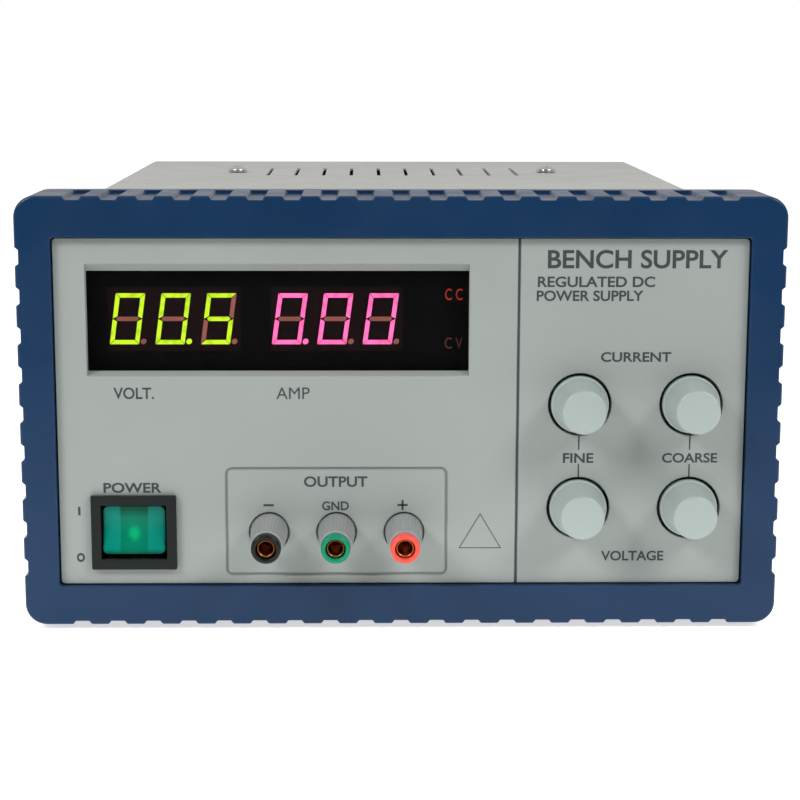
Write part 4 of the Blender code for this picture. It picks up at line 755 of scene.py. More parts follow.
def plate(bm, low, high, corner, front, back, segments=6):
    """Add a rectangle in XZ with round corners, stretched from one Y to another. Return its rear vertices."""
    spots = ((low[0], low[1]), (high[0], low[1]), (high[0], high[1]), (low[0], high[1]))
    before = set(bm.verts)
    bm.faces.new([bm.verts.new((x, front, z)) for x, z in spots])
    corners = [v for v in bm.verts if v not in before]
    bmesh.ops.bevel(
        bm, geom=corners, offset=corner, offset_type="OFFSET", segments=segments, profile=0.5,
        affect="VERTICES", material=-1,
    )
    face = next(f for f in bm.faces if not before.intersection(f.verts))
    grown = bmesh.ops.extrude_face_region(bm, geom=[face])["geom"]
    rear = [v for v in grown if isinstance(v, bmesh.types.BMVert)]
    bmesh.ops.translate(bm, verts=rear, vec=(0.0, back - front, 0.0))
    return rear


def outward(bm):
    """Turn every face of closed shapes outwards."""
    bmesh.ops.recalc_face_normals(bm, faces=bm.faces)
    return bm


def lathe(bm, profile, centre, axis=(0.0, 1.0, 0.0), side=(1.0, 0.0, 0.0), steps=64, ring=False):
    """Spin a profile of (radius, distance along the axis). A ring's profile closes on itself."""
    before = set(bm.verts)
    centre, axis, side = Vector(centre), Vector(axis), Vector(side)
    points = [bm.verts.new(centre + side * radius + axis * distance) for radius, distance in profile]
    pairs = list(zip(points, points[1:]))
    if ring:
        pairs.append((points[-1], points[0]))
    edges = [bm.edges.new(pair) for pair in pairs]
    bmesh.ops.spin(
        bm, geom=points + edges, cent=centre, axis=axis, angle=2 * math.pi, steps=steps, use_merge=True
    )
    new = [v for v in bm.verts if v not in before]
    bmesh.ops.remove_doubles(bm, verts=new, dist=MERGE)
    return outward(bm)


def arc(centre, radius, start, end, steps=5):
    """Return points of (radius, distance) along an arc. Angles are in degrees, from outwards to the back."""
    points = []
    for step in range(steps + 1):
        angle = math.radians(start + (end - start) * step / steps)
        points.append((centre[0] + radius * math.cos(angle), centre[1] + radius * math.sin(angle)))
    return points


def carve(bm, cutter):
    """Cut one bmesh out of another and return the result."""
    pair = []
    for part in (bm, outward(cutter)):
        mesh = bpy.data.meshes.new("carving")
        part.to_mesh(mesh)
        part.free()
        obj = bpy.data.objects.new("carving", mesh)
        bpy.context.scene.collection.objects.link(obj)
        pair.append(obj)
    body, tool = pair
    modifier = body.modifiers.new("cut", "BOOLEAN")
    modifier.object = tool
    modifier.operation = "DIFFERENCE"
    modifier.solver = "EXACT"
    graph = bpy.context.evaluated_depsgraph_get()
    result = bmesh.new()
    result.from_object(body, graph)
    for obj in pair:
        bpy.data.objects.remove(obj, do_unlink=True)
    bmesh.ops.remove_doubles(result, verts=result.verts, dist=MERGE)
    bmesh.ops.dissolve_limit(result, angle_limit=FLAT_ANGLE, verts=result.verts, edges=result.edges)
    return result


def lettering(bm, text, centre, width, height, face, thickness, weight):
    """Add a word to a bmesh: it faces -Y, fills the given width and height and stands on a face."""
    curve = bpy.data.curves.new("word", "FONT")
    curve.body = text
    curve.extrude = 0.5
    curve.offset = weight
    curve.resolution_u = 6
    writer = bpy.data.objects.new("word", curve)
    bpy.context.scene.collection.objects.link(writer)
    graph = bpy.context.evaluated_depsgraph_get()
    mesh = bpy.data.meshes.new_from_object(writer.evaluated_get(graph))
    bpy.data.objects.remove(writer, do_unlink=True)
    spots = [v.co for v in mesh.vertices]
    low = Vector([min(s[i] for s in spots) for i in range(3)])
    high = Vector([max(s[i] for s in spots) for i in range(3)])
    span = high - low
    fit = Matrix.Diagonal((width / span.x, height / span.y, thickness, 1.0))
    upright = Matrix.Rotation(math.radians(90), 4, "X")
    place = Matrix.Translation((centre[0], face - thickness / 2, centre[1]))
    mesh.transform(place @ upright @ fit @ Matrix.Translation(-(low + high) / 2))
    bm.from_mesh(mesh)
    bpy.data.meshes.remove(mesh)


# ---------------------------------------------------------------- pieces


class SUPPLY_OT_bumper_frame(bpy.types.Operator):
    """Make the blue bumper frame with its round corners and grip notches"""

    bl_idname = "supply.bumper_frame"
    bl_label = "Bumper Frame"

    def execute(self, context):
        low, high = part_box("front_bezel")
        bm = self.blank(low, high)
        for cutter in (self.opening(low, high), self.socket(low), self.notches(low, high)):
            bm = carve(bm, cutter)
        round_edges(bm, sharp_edges(bm, math.radians(30)), sizes().frame_edge)
        piece("bumper_frame", bm, frame_blue(), replaces=("front_bezel",), weighted=True)
        return {"FINISHED"}

    def blank(self, low, high):
        """Return the block that the frame is cut from, with its rims rounded."""
        s = sizes()
        bm = bmesh.new()
        rear = set(plate(bm, (low.x, low.z), (high.x, high.z), s.frame_corner, low.y, high.y, 10))
        rear_rim = [e for e in bm.edges if rear.issuperset(e.verts)]
        round_edges(bm, rear_rim, s.frame_rear_rim, 3)
        front_rim = [e for e in bm.edges if e.is_valid and all(abs(v.co.y - low.y) < MERGE for v in e.verts)]
        round_edges(bm, front_rim, s.frame_rim, 5)
        return outward(bm)

    def opening(self, low, high):
        """Return the cutter of the opening that shows the panel."""
        s = sizes()
        bm = bmesh.new()
        corner_low = (low.x + s.side_band, low.z + s.bottom_band)
        corner_high = (high.x - s.side_band, high.z - s.top_band)
        over = s.frame_lip / 2
        plate(bm, corner_low, corner_high, s.opening_corner, low.y - over, low.y + s.frame_lip + over)
        return bm

    def socket(self, low):
        """Return the cutter of the socket that takes the panel's flange and the case."""
        s = sizes()
        bm = bmesh.new()
        grow = Vector((s.clearance, 0.0, s.clearance))
        near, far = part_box("front_panel")
        near, far = near - grow, far + grow
        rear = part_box("front_bezel")[1].y + s.frame_lip
        plate(bm, (near.x, near.z), (far.x, far.z), s.case_corner, low.y + s.frame_lip, rear)
        return bm

    def notches(self, low, high):
        """Return the cutters of all grip notches."""
        s = sizes()
        bm = bmesh.new()
        over = s.notch_depth
        slope = (s.notch_width - s.notch_floor) / 2 / s.notch_depth
        mouth = s.notch_width / 2 + slope * over
        runs = (
            (low.x, high.x, low.z, high.z, s.notch_pitch_long, False),
            (low.z, high.z, low.x, high.x, s.notch_pitch_short, True),
        )
        for start, end, near, far, pitch, upright in runs:
            count = int((end - start - 2 * s.notch_margin) / pitch) + 1
            for step in range(count):
                centre = (start + end) / 2 + (step - (count - 1) / 2) * pitch
                for edge, outwards in ((near, -1), (far, 1)):
                    outer = edge + outwards * over
                    floor = edge - outwards * s.notch_depth
                    shape = (
                        (centre - mouth, outer),
                        (centre - s.notch_floor / 2, floor),
                        (centre + s.notch_floor / 2, floor),
                        (centre + mouth, outer),
                    )
                    spots = [(b, a) if upright else (a, b) for a, b in shape]
                    face = bm.faces.new([bm.verts.new((x, low.y - over, z)) for x, z in spots])
                    grown = bmesh.ops.extrude_face_region(bm, geom=[face])["geom"]
                    moved = [v for v in grown if isinstance(v, bmesh.types.BMVert)]
                    bmesh.ops.translate(bm, verts=moved, vec=(0.0, over + s.notch_length, 0.0))
        return bm


class SUPPLY_OT_control_panel(bpy.types.Operator):
    """Make the grey moulded panel"""

    bl_idname = "supply.control_panel"
    bl_label = "Control Panel"

    # From the opening's right edge to the dividing line, and how near that place a face counts as the line
    DIVIDER_FROM_OPENING = 0.0641
    DIVIDER_REACH = 0.001
    # The floors of the grooves, which get painted shade, lie this far behind the panel's face
    LINE_LEAST_DEPTH = 0.00025
    LINE_MOST_DEPTH = 0.0006

    def execute(self, context):
        bm = merged_copy("front_panel")
        round_edges(bm, sharp_edges(bm), sizes().panel_edge, clamp=False)
        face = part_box("front_panel")[0].y
        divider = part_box("front_bezel")[1].x - sizes().side_band - self.DIVIDER_FROM_OPENING
        for part in bm.faces:
            spot = part.calc_center_median()
            sunk = spot.y - face
            faces_front = part.normal.y < -0.9
            # Groove floors get painted shade: dark in the dividing groove, grey in the groove round the
            # posts.
            if faces_front and self.LINE_LEAST_DEPTH < sunk < self.LINE_MOST_DEPTH:
                part.material_index = 1 if abs(spot.x - divider) < self.DIVIDER_REACH else 2
        finishes = (panel_grey(), divider_groove_shade(), output_groove_shade())
        piece("panel_moulding", bm, finishes, replaces=("front_panel",), weighted=True)
        return {"FINISHED"}


class SUPPLY_OT_labels(bpy.types.Operator):
    """Print the words, lines and plain signs on the panel"""

    bl_idname = "supply.labels"
    bl_label = "Printed Labels"

    # Word, the node that it belongs to, how far right of it and above it, width, height and boldness
    WORDS = (
        ("VOLT.", "volt_display", -0.0112, -0.0202, 0.0113, 0.0033, 0.016),
        ("AMP", "amp_display", -0.0122, -0.0202, 0.0093, 0.0033, 0.0),
        ("POWER", "switch_frame", -0.0003, 0.0127, 0.0163, 0.0029, 0.022),
        ("I", "switch_frame", -0.0154, 0.0060, 0.0007, 0.0025, 0.014),
        ("O", "switch_frame", -0.0153, -0.0075, 0.0023, 0.0026, 0.05),
        ("OUTPUT", "post_ground", -0.0002, 0.0146, 0.0179, 0.0031, 0.022),
        ("GND", "post_ground", -0.0003, 0.0076, 0.0076, 0.0026, 0.022),
        ("CURRENT", "knob_current_fine", 0.0155, 0.0135, 0.0197, 0.0028, 0.022),
        ("VOLTAGE", "knob_voltage_fine", 0.0157, -0.0140, 0.0178, 0.0029, 0.022),
        ("FINE", "knob_voltage_fine", -0.0002, 0.0144, 0.0086, 0.0028, 0.022),
        ("COARSE", "knob_voltage_coarse", 0.0, 0.0144, 0.0156, 0.0028, 0.022),
        ("REGULATED DC", "knob_current_fine", 0.0040, 0.0346, 0.0326, 0.0030, 0.022),
        ("POWER SUPPLY", "knob_current_fine", 0.0023, 0.0307, 0.0297, 0.0030, 0.022),
        ("BENCH SUPPLY", "knob_current_fine", 0.0154, 0.0409, 0.0500, 0.0052, 0.02),
    )
    # Node, how far right of it and above it, width and height of a plain bar
    BARS = (
        ("post_negative", -0.0001, 0.0078, 0.0029, 0.0006),
        ("post_positive", -0.0004, 0.0078, 0.0029, 0.0006),
        ("post_positive", -0.0004, 0.0078, 0.0006, 0.0029),
        ("knob_voltage_fine", -0.0001, 0.0188, 0.0004, 0.0041),
        ("knob_voltage_fine", -0.0001, 0.0107, 0.0004, 0.0038),
        ("knob_voltage_coarse", -0.0001, 0.0188, 0.0004, 0.0041),
        ("knob_voltage_coarse", -0.0001, 0.0107, 0.0004, 0.0038),
    )
    # Edges of the plain triangle, from the positive post, and the width of its line
    SIGN_LEFT = 0.0155
    SIGN_RIGHT = 0.0276
    SIGN_FOOT = -0.0048
    SIGN_TOP = 0.0054
    SIGN_LINE = 0.00045

    def execute(self, context):
        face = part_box("front_panel")[0].y
        ink = sizes().ink
        bm = bmesh.new()
        for text, owner, across, up, width, height, weight in self.WORDS:
            spot = middle(owner)
            lettering(bm, text, (spot.x + across, spot.z + up), width, height, face, ink, weight)
        for owner, across, up, width, height in self.BARS:
            spot = middle(owner) + Vector((across, 0.0, up))
            half = Vector((width / 2, 0.0, height / 2))
            spot.y = face
            block(bm, spot - half - Vector((0.0, ink, 0.0)), spot + half)
        self.sign(bm, middle("post_positive"), face, ink)
        bmesh.ops.remove_doubles(bm, verts=bm.verts, dist=MERGE / 10)
        piece("printed_labels", bm, label_ink())
        return {"FINISHED"}

    def sign(self, bm, owner, face, ink):
        """Print the outline of a plain triangle."""
        peak = (self.SIGN_LEFT + self.SIGN_RIGHT) / 2
        corners = ((self.SIGN_LEFT, self.SIGN_FOOT), (self.SIGN_RIGHT, self.SIGN_FOOT), (peak, self.SIGN_TOP))
        spots = [bm.verts.new((owner.x + x, face - ink, owner.z + z)) for x, z in corners]
        centre = bm.faces.new(spots)
        centre.normal_update()
        ring = bmesh.ops.inset_individual(bm, faces=[centre], thickness=self.SIGN_LINE)["faces"]
        bmesh.ops.delete(bm, geom=[centre], context="FACES_ONLY")
        grown = bmesh.ops.extrude_face_region(bm, geom=ring)["geom"]
        moved = [v for v in grown if isinstance(v, bmesh.types.BMVert)]
        bmesh.ops.translate(bm, verts=moved, vec=(0.0, ink, 0.0))
        bmesh.ops.recalc_face_normals(bm, faces=bm.faces)


class SUPPLY_OT_meters(bpy.types.Operator):
    """Make the smoked window, the two digit modules and the mode lamps"""

    bl_idname = "supply.meters"
    bl_label = "Meters"

    # Share of its width by which the middle segment's ends are pointed
    POINT = 0.47
    SHAPES = {"0": "abcdef", "5": "acdfg"}
    READINGS = (("volt_display", "005", 1, "volt_digits"), ("amp_display", "000", 0, "amp_digits"))
    STRENGTHS = {"volt_digits": 1.4, "amp_digits": 2.0}
    SLANT = math.radians(8)
    DIGITS_TO_LEFT = 0.0004
    MODE_WORD_WIDTH = 0.0049
    MODE_WORD_HEIGHT = 0.0032
    MODE_WORD_UP = 0.0069

    def execute(self, context):
        s = sizes()
        self.window_and_mask()
        for owner, reading, dotted, finish in self.READINGS:
            rounded_piece(owner, display_dark(), s.plastic_edge)
            self.digits(owner, reading, dotted, finish)
        rounded_piece("mode_indicator", mask_black(), s.plastic_edge)
        self.mode_words()
        return {"FINISHED"}

    def window_and_mask(self):
        """Make the lens, and behind it a black print with a window for each module."""
        s = sizes()
        rounded_piece("display_window", window_lens(), s.plastic_edge / 2)
        low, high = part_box("display_window")
        back = high.y + s.clearance / 4
        bm = bmesh.new()
        spots = ((low.x, low.z), (high.x, low.z), (high.x, high.z), (low.x, high.z))
        bm.faces.new([bm.verts.new((x, back, z)) for x, z in spots])
        windows = []
        for owner in ("volt_display", "amp_display", "mode_indicator"):
            near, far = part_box(owner)
            inset = Vector((s.plastic_edge, 0.0, s.plastic_edge))
            near, far = near + inset, far - inset
            windows.append((near, far))
            for spot, normal in ((near, (1, 0, 0)), (far, (1, 0, 0)), (near, (0, 0, 1)), (far, (0, 0, 1))):
                everything = list(bm.verts) + list(bm.edges) + list(bm.faces)
                bmesh.ops.bisect_plane(bm, geom=everything, plane_co=spot, plane_no=normal)
        gone = [f for f in bm.faces if any(self.inside(f.calc_center_median(), *w) for w in windows)]
        bmesh.ops.delete(bm, geom=gone, context="FACES")
        grown = bmesh.ops.extrude_face_region(bm, geom=list(bm.faces), use_keep_orig=True)["geom"]
        moved = [v for v in grown if isinstance(v, bmesh.types.BMVert)]
        bmesh.ops.translate(bm, verts=moved, vec=(0.0, s.clearance / 2, 0.0))
        piece("window_mask", outward(bm), mask_black())

    def inside(self, spot, low, high):
        """Say whether a spot lies in a rectangle of the XZ plane."""
        return low.x < spot.x < high.x and low.z < spot.z < high.z

    def digits(self, owner, reading, dotted, finish):
        """Make the lit and the unlit segments of one module."""
        s = sizes()
        lit_ones, dark_ones = bmesh.new(), bmesh.new()
        centre = middle(owner) - Vector((self.DIGITS_TO_LEFT, 0.0, 0.0))
        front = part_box(owner)[0].y
        for number, figure in enumerate(reading):
            spot = Vector((centre.x + (number - 1) * s.digit_pitch, front, centre.z))
            for letter, low, high, ends, outer in self.segments():
                bm = lit_ones if letter in self.SHAPES[figure] else dark_ones
                self.segment(bm, spot, low, high, ends, outer)
            self.dot(lit_ones if number == dotted else dark_ones, spot)
        glowing = lit(finish, getattr(colours(), finish), self.STRENGTHS[finish])
        piece(f"{finish}_lit", outward(lit_ones), glowing)
        piece(f"{finish}_unlit", outward(dark_ones), unlit_segment())

    def segments(self):
        """Return each segment's letter, its low and high corner, how its ends slant and its outer side.

        The corners are measured from the digit's middle. The slants are how far each corner is drawn in along
        the segment, in segment widths, in the order low end inner, low end outer, high end inner, high end
        outer.
        """
        s = sizes()
        wide, tall, thick = s.digit_width / 2, s.digit_height / 2, s.segment
        end = s.segment_gap / 2
        mitred, pointed = (1.0, 0.0), (0.5, 0.0)
        rows = []
        for letter, side in (("a", 1), ("d", -1)):
            low, high = sorted((side * tall, side * (tall - thick)))
            rows.append((letter, (-wide + end, low), (wide - end, high), (*mitred, *mitred), side))
        rows.append(("g", (-wide + thick / 2, -thick / 2), (wide - thick / 2, thick / 2), (0.2,) * 4, 0))
        for letter, side, up in (("f", -1, 1), ("b", 1, 1), ("e", -1, -1), ("c", 1, -1)):
            low_x, high_x = sorted((side * wide, side * (wide - thick)))
            low_z, high_z = sorted((up * end, up * (tall - end)))
            ends = (*pointed, *mitred) if up > 0 else (*mitred, *pointed)
            rows.append((letter, (low_x, low_z), (high_x, high_z), ends, side))
        return rows

    def segment(self, bm, spot, low, high, ends, outer):
        """Add one segment with slanted or pointed ends."""
        s = sizes()
        proud = s.clearance / 4
        before = set(bm.verts)
        corners = block(bm, (low[0], -proud, low[1]), (high[0], proud, high[1]))
        lying = high[0] - low[0] > high[1] - low[1]
        along, across = (0, 2) if lying else (2, 0)
        centre = Vector(((low[0] + high[0]) / 2, 0.0, (low[1] + high[1]) / 2))
        for corner in corners:
            away = corner.co - centre
            first = 0 if away[along] < 0 else 2
            outside = outer * away[across] > 0
            corner.co[along] -= math.copysign(ends[first + outside] * s.segment, away[along])
        if not outer:
            deep = [e for e in {e for v in corners for e in v.link_edges} if self.runs_back(e)]
            round_edges(bm, deep, s.segment * self.POINT, segments=1)
        self.lean(bm, [v for v in bm.verts if v not in before], spot)

    def runs_back(self, edge):
        """Tell whether an edge runs from the front to the back."""
        first, second = (v.co for v in edge.verts)
        return abs(first.x - second.x) < MERGE and abs(first.z - second.z) < MERGE

    def dot(self, bm, spot):
        """Add the decimal point at a digit's lower right."""
        s = sizes()
        proud = s.clearance / 4
        radius = s.segment * 0.65
        before = set(bm.verts)
        turn = Matrix.Rotation(math.radians(90), 4, "X")
        place = Matrix.Translation((s.digit_width / 2 + radius * 1.5, 0.0, -s.digit_height / 2 + radius))
        bmesh.ops.create_cone(
            bm, cap_ends=True, segments=20, radius1=radius, radius2=radius, depth=2 * proud,
            matrix=place @ turn,
        )
        self.lean(bm, [v for v in bm.verts if v not in before], spot)

    def lean(self, bm, verts, spot):
        """Slant part of a digit and move it to its place."""
        shear = Matrix.Identity(4)
        shear[0][2] = math.tan(self.SLANT)
        bmesh.ops.transform(bm, matrix=Matrix.Translation(spot) @ shear, verts=verts)

    def mode_words(self):
        """Make the two lamps that show the constant current and constant voltage modes."""
        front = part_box("mode_indicator")[0].y
        spot = middle("mode_indicator")
        thick = sizes().ink * 2
        shown = (("C C", self.MODE_WORD_UP, mode_lit()), ("C V", -self.MODE_WORD_UP, mode_dim()))
        for text, up, material in shown:
            bm = bmesh.new()
            place = (spot.x, spot.z + up)
            lettering(bm, text, place, self.MODE_WORD_WIDTH, self.MODE_WORD_HEIGHT, front, thick, 0.0)
            bmesh.ops.remove_doubles(bm, verts=bm.verts, dist=MERGE / 10)
            piece(f"mode_word_{text[0]}{text[-1]}".lower(), bm, material)


class SUPPLY_OT_power_switch(bpy.types.Operator):
    """Make the black switch frame and its translucent rocker"""

    bl_idname = "supply.power_switch"
    bl_label = "Power Switch"

    # The corner edges lie beyond this share of the rocker's half height, and run nearly straight back
    CORNERS_FROM = 0.6
    NEARLY_STRAIGHT = 0.9

    def execute(self, context):
        rounded_piece("switch_frame", switch_black(), sizes().plastic_edge)
        self.rocker()
        return {"FINISHED"}

    def rocker(self):
        """Make the rocker with round corners."""
        bm = merged_copy("power_rocker")
        low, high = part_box("power_rocker")
        centre = (low + high) / 2
        ends = (high.z - low.z) / 2 * self.CORNERS_FROM
        corners = []
        for edge in bm.edges:
            first, second = (v.co for v in edge.verts)
            runs_back = abs(first.y - second.y) > self.NEARLY_STRAIGHT * edge.calc_length()
            if runs_back and min(abs(first.z - centre.z), abs(second.z - centre.z)) > ends:
                corners.append(edge)
        round_edges(bm, corners, sizes().rocker_corner, 5)
        round_edges(bm, sharp_edges(bm), sizes().plastic_edge)
        piece("rocker_lens", bm, rocker_green(), "rocker", ("power_rocker",), weighted=True)


class SUPPLY_OT_knobs(bpy.types.Operator):
    """Turn the four knobs and their shafts"""

    bl_idname = "supply.knobs"
    bl_label = "Knobs"

    SKIRT_OFF_PANEL = 0.0012
    SKIRT_RIM = 0.0004
    SHAFT_EDGE = 0.0002

    def execute(self, context):
        for name in KNOBS:
            self.knob(name)
        return {"FINISHED"}

    def knob(self, name):
        """Turn one knob: a short skirt, a cone and a flat tip."""
        s = sizes()
        low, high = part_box(f"knob_{name}")
        shaft_low, shaft_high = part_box(f"shaft_{name}")
        radius = (high.x - low.x) / 2
        bore = (shaft_high.x - shaft_low.x) / 2 + s.clearance
        bore_end = shaft_low.y - s.clearance
        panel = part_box("front_panel")[0].y
        skirt = panel - self.SKIRT_OFF_PANEL
        rim = self.SKIRT_RIM
        fillet = s.knob_fillet
        lean = math.degrees(math.atan2(radius - s.knob_tip, skirt - low.y))
        profile = [(0.0, bore_end), (bore, bore_end), (bore, high.y)]
        profile += [(radius - rim, high.y), (radius, high.y - rim)]
        profile += arc((radius - rim, skirt + rim), rim, 0.0, -90.0 + lean, 4)
        profile += arc((s.knob_tip - fillet, low.y + fillet), fillet, -lean, -90.0, 7)
        profile.append((0.0, low.y))
        centre = Vector(((low.x + high.x) / 2, 0.0, (low.z + high.z) / 2))
        bm = lathe(bmesh.new(), profile, centre, steps=80)
        piece(f"knob_{name}_turned", bm, knob_grey(), f"knob_{name}", (f"knob_{name}",))
        rounded_piece(f"shaft_{name}", zinc(), self.SHAFT_EDGE, f"knob_{name}")


class SUPPLY_OT_binding_posts(bpy.types.Operator):
    """Turn the three binding posts: stud, ribbed thumb nut and coloured cap"""

    bl_idname = "supply.binding_posts"
    bl_label = "Binding Posts"

    STUD_RADIUS = 0.0025
    SOCKET_RADIUS = 0.002
    SOCKET_DEPTH = 0.0145
    STUD_LIP = 0.0002
    STUD_HEAD = 0.003
    THREAD_BEFORE_SOCKET_END = 0.004
    THREAD_PITCH = 0.0008
    THREAD_DEPTH = 0.0003
    PANEL_THICKNESS = 0.003
    SPIGOT_WALL = 0.0009
    CAP_LENGTH = 0.0026
    CAP_RIM = 0.0007
    CAP_LIP = 0.0003
    NUT_RIM = 0.0003
    NUT_OFF_PANEL = 0.0005
    # The profile's points in between and the ribs' reach, as shares of the nut's length
    NUT_SHARES = (0.12, 0.88)
    RIBS_FROM = 0.1
    RIBS_TO = 0.9
    RIB_SHARPNESS = 0.7

    def execute(self, context):
        for name in POSTS:
            self.cap(name)
            self.nut(name)
            self.stud(name)
        return {"FINISHED"}

    def axis(self, name):
        """Return a point on a post's axis."""
        spot = middle(f"post_cap_{name}")
        return Vector((spot.x, 0.0, spot.z))

    def cap(self, name):
        """Turn the cap, with a rounded rim and a spigot that sits in the nut."""
        s = sizes()
        low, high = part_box(f"post_cap_{name}")
        outer = (high.x - low.x) / 2 - s.cap_step
        bore = self.STUD_RADIUS + s.clearance
        spigot = bore + self.SPIGOT_WALL
        shoulder = low.y + self.CAP_LENGTH
        rim = self.CAP_RIM
        lip = self.CAP_LIP
        profile = arc((bore + lip, low.y + lip), lip, 180.0, 270.0, 4)
        profile += arc((outer - rim, low.y + rim), rim, -90.0, 0.0, 6)
        profile += [(outer, shoulder), (spigot, shoulder), (spigot, high.y), (bore, high.y)]
        bm = lathe(bmesh.new(), profile, self.axis(name), steps=64, ring=True)
        piece(f"cap_{name}_turned", bm, cap_finish(name), f"cap_{name}", (f"post_cap_{name}",))

    def nut(self, name):
        """Turn the thumb nut and press ribs into its side."""
        s = sizes()
        low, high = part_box(f"thumb_nut_{name}")
        cap_low, cap_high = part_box(f"post_cap_{name}")
        outer = (high.x - low.x) / 2
        front = (cap_high.x - cap_low.x) / 2
        bore = self.STUD_RADIUS + s.clearance
        spigot = bore + self.SPIGOT_WALL + s.clearance
        step = cap_high.y + s.clearance
        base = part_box("front_panel")[0].y - self.NUT_OFF_PANEL
        rim = self.NUT_RIM
        profile = [(spigot, low.y), (front - rim, low.y), (front, low.y + rim)]
        for share in self.NUT_SHARES:
            profile.append((front + share * (outer - front), low.y + share * (base - low.y)))
        profile += [(outer, base), (outer, high.y), (bore, high.y), (bore, step), (spigot, step)]
        centre = self.axis(name)
        bm = lathe(bmesh.new(), profile, centre, steps=s.nut_ribs * 6, ring=True)
        for vert in bm.verts:
            along = (vert.co.y - low.y) / (base - low.y)
            away = Vector((vert.co.x - centre.x, 0.0, vert.co.z - centre.z))
            if self.RIBS_FROM < along < self.RIBS_TO and away.length > spigot + rim:
                turn = math.atan2(away.z, away.x) * s.nut_ribs
                groove = (0.5 - 0.5 * math.cos(turn)) ** self.RIB_SHARPNESS
                vert.co -= away.normalized() * s.rib_depth * groove
        piece(f"nut_{name}_ribbed", bm, nut_grey(), f"nut_{name}", (f"thumb_nut_{name}",))

    def stud(self, name):
        """Turn the brass stud: a tube in front, a thread, a head behind the panel and a solder tail."""
        s = sizes()
        low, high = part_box(f"post_{name}")
        outer = self.STUD_RADIUS
        inner = self.SOCKET_RADIUS
        lip = self.STUD_LIP
        socket_end = low.y + self.SOCKET_DEPTH
        panel_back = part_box("front_panel")[0].y + self.PANEL_THICKNESS + s.clearance
        thread_start = socket_end - self.THREAD_BEFORE_SOCKET_END
        pitch = self.THREAD_PITCH
        profile = [(0.0, socket_end + inner * 0.6), (inner, socket_end), (inner, low.y + lip)]
        profile += [(inner + lip, low.y), (outer - lip, low.y), (outer, low.y + lip), (outer, thread_start)]
        turns = int((panel_back - thread_start) / pitch)
        for turn in range(turns):
            start = thread_start + turn * pitch
            profile += [(outer - self.THREAD_DEPTH, start + pitch * 0.5), (outer, start + pitch)]
        head = (high.x - low.x) / 2
        head_back = panel_back + self.STUD_HEAD
        profile += [(outer, panel_back), (head, panel_back), (head, head_back)]
        profile += [(inner, head_back), (inner, high.y - lip), (inner - lip, high.y), (0.0, high.y)]
        bm = lathe(bmesh.new(), profile, self.axis(name), steps=48)
        piece(f"stud_{name}_turned", bm, brass(), "cabinet", (f"post_{name}",))


class SUPPLY_OT_case(bpy.types.Operator):
    """Make the folded case, its screws and its feet"""

    bl_idname = "supply.case"
    bl_label = "Case"

    SCREW_HEAD_RADIUS = 0.0036
    SCREW_HEAD_HEIGHT = 0.0021
    SHANK_RADIUS = 0.0015
    # Straight share of a head's height, and the shares of its radius where its crown has a point
    HEAD_SIDE = 0.35
    CROWN = (0.25, 0.5, 0.7, 0.86, 0.96, 1.0)
    RECESS_LENGTH = 0.0036
    RECESS_WIDTH = 0.0008
    RECESS_DEPTH = 0.0011
    FOOT_TIP = 0.0062
    FOOT_RECESS = 0.0028
    FOOT_RECESS_DEPTH = 0.004
    FOOT_RIM = 0.0006

    def execute(self, context):
        edge = sizes().sheet_edge
        for name in ("top_cover", "base_tray", "rear_panel"):
            rounded_piece(name, case_paint(), edge)
        for side in ("left", "right"):
            self.screw(f"cover_screw_{side}", (0, 0, 1))
            for row in ("front", "rear"):
                self.screw(f"side_screw_{row}_{side}", (-1 if side == "left" else 1, 0, 0))
                self.foot(f"foot_{row}_{side}")
        return {"FINISHED"}

    def screw(self, name, axis):
        """Turn a pan-head screw and cut its cross recess."""
        low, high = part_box(name)
        axis = Vector(axis)
        side = Vector((0.0, 1.0, 0.0))
        centre = (low + high) / 2
        half = abs((high - low).dot(axis)) / 2
        head = self.SCREW_HEAD_RADIUS
        shank = self.SHANK_RADIUS
        seat = half - self.SCREW_HEAD_HEIGHT
        rim = seat + self.SCREW_HEAD_HEIGHT * self.HEAD_SIDE
        profile = [(0.0, half)]
        for share in self.CROWN:
            profile.append((head * share, rim + (half - rim) * math.sqrt(1 - share**2)))
        profile += [(head, seat), (shank, seat), (shank, -half + shank * 0.5)]
        profile += [(shank * 0.5, -half), (0.0, -half)]
        bm = lathe(bmesh.new(), profile, centre, axis, side, steps=40)
        turn = axis.to_track_quat("Z", "Y").to_matrix().to_4x4()
        place = Matrix.Translation(centre + axis * half) @ turn
        for wide, tall in ((self.RECESS_LENGTH, self.RECESS_WIDTH), (self.RECESS_WIDTH, self.RECESS_LENGTH)):
            bar = bmesh.new()
            shape = Matrix.Diagonal((wide, tall, 2 * self.RECESS_DEPTH, 1.0))
            bmesh.ops.create_cube(bar, size=1.0, matrix=place @ shape)
            bm = carve(bm, bar)
        piece(f"{name}_turned", bm, zinc(), "cabinet", (name,), weighted=True)

    def foot(self, name):
        """Turn a rubber foot with a sunk middle."""
        low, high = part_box(name)
        centre = (low + high) / 2
        half = (high.z - low.z) / 2
        wide = (high.x - low.x) / 2
        rim = self.FOOT_RIM
        floor = half - self.FOOT_RECESS_DEPTH
        profile = [(0.0, floor), (self.FOOT_RECESS, floor), (self.FOOT_RECESS, half)]
        profile += arc((self.FOOT_TIP - rim, half - rim), rim, 90.0, 10.0, 5)
        profile += [(wide, -half + rim), (wide - rim * 0.3, -half), (0.0, -half)]
        bm = lathe(bmesh.new(), profile, centre, (0, 0, -1), (1, 0, 0), steps=56)
        piece(f"{name}_turned", bm, foot_rubber(), "cabinet", (name,))


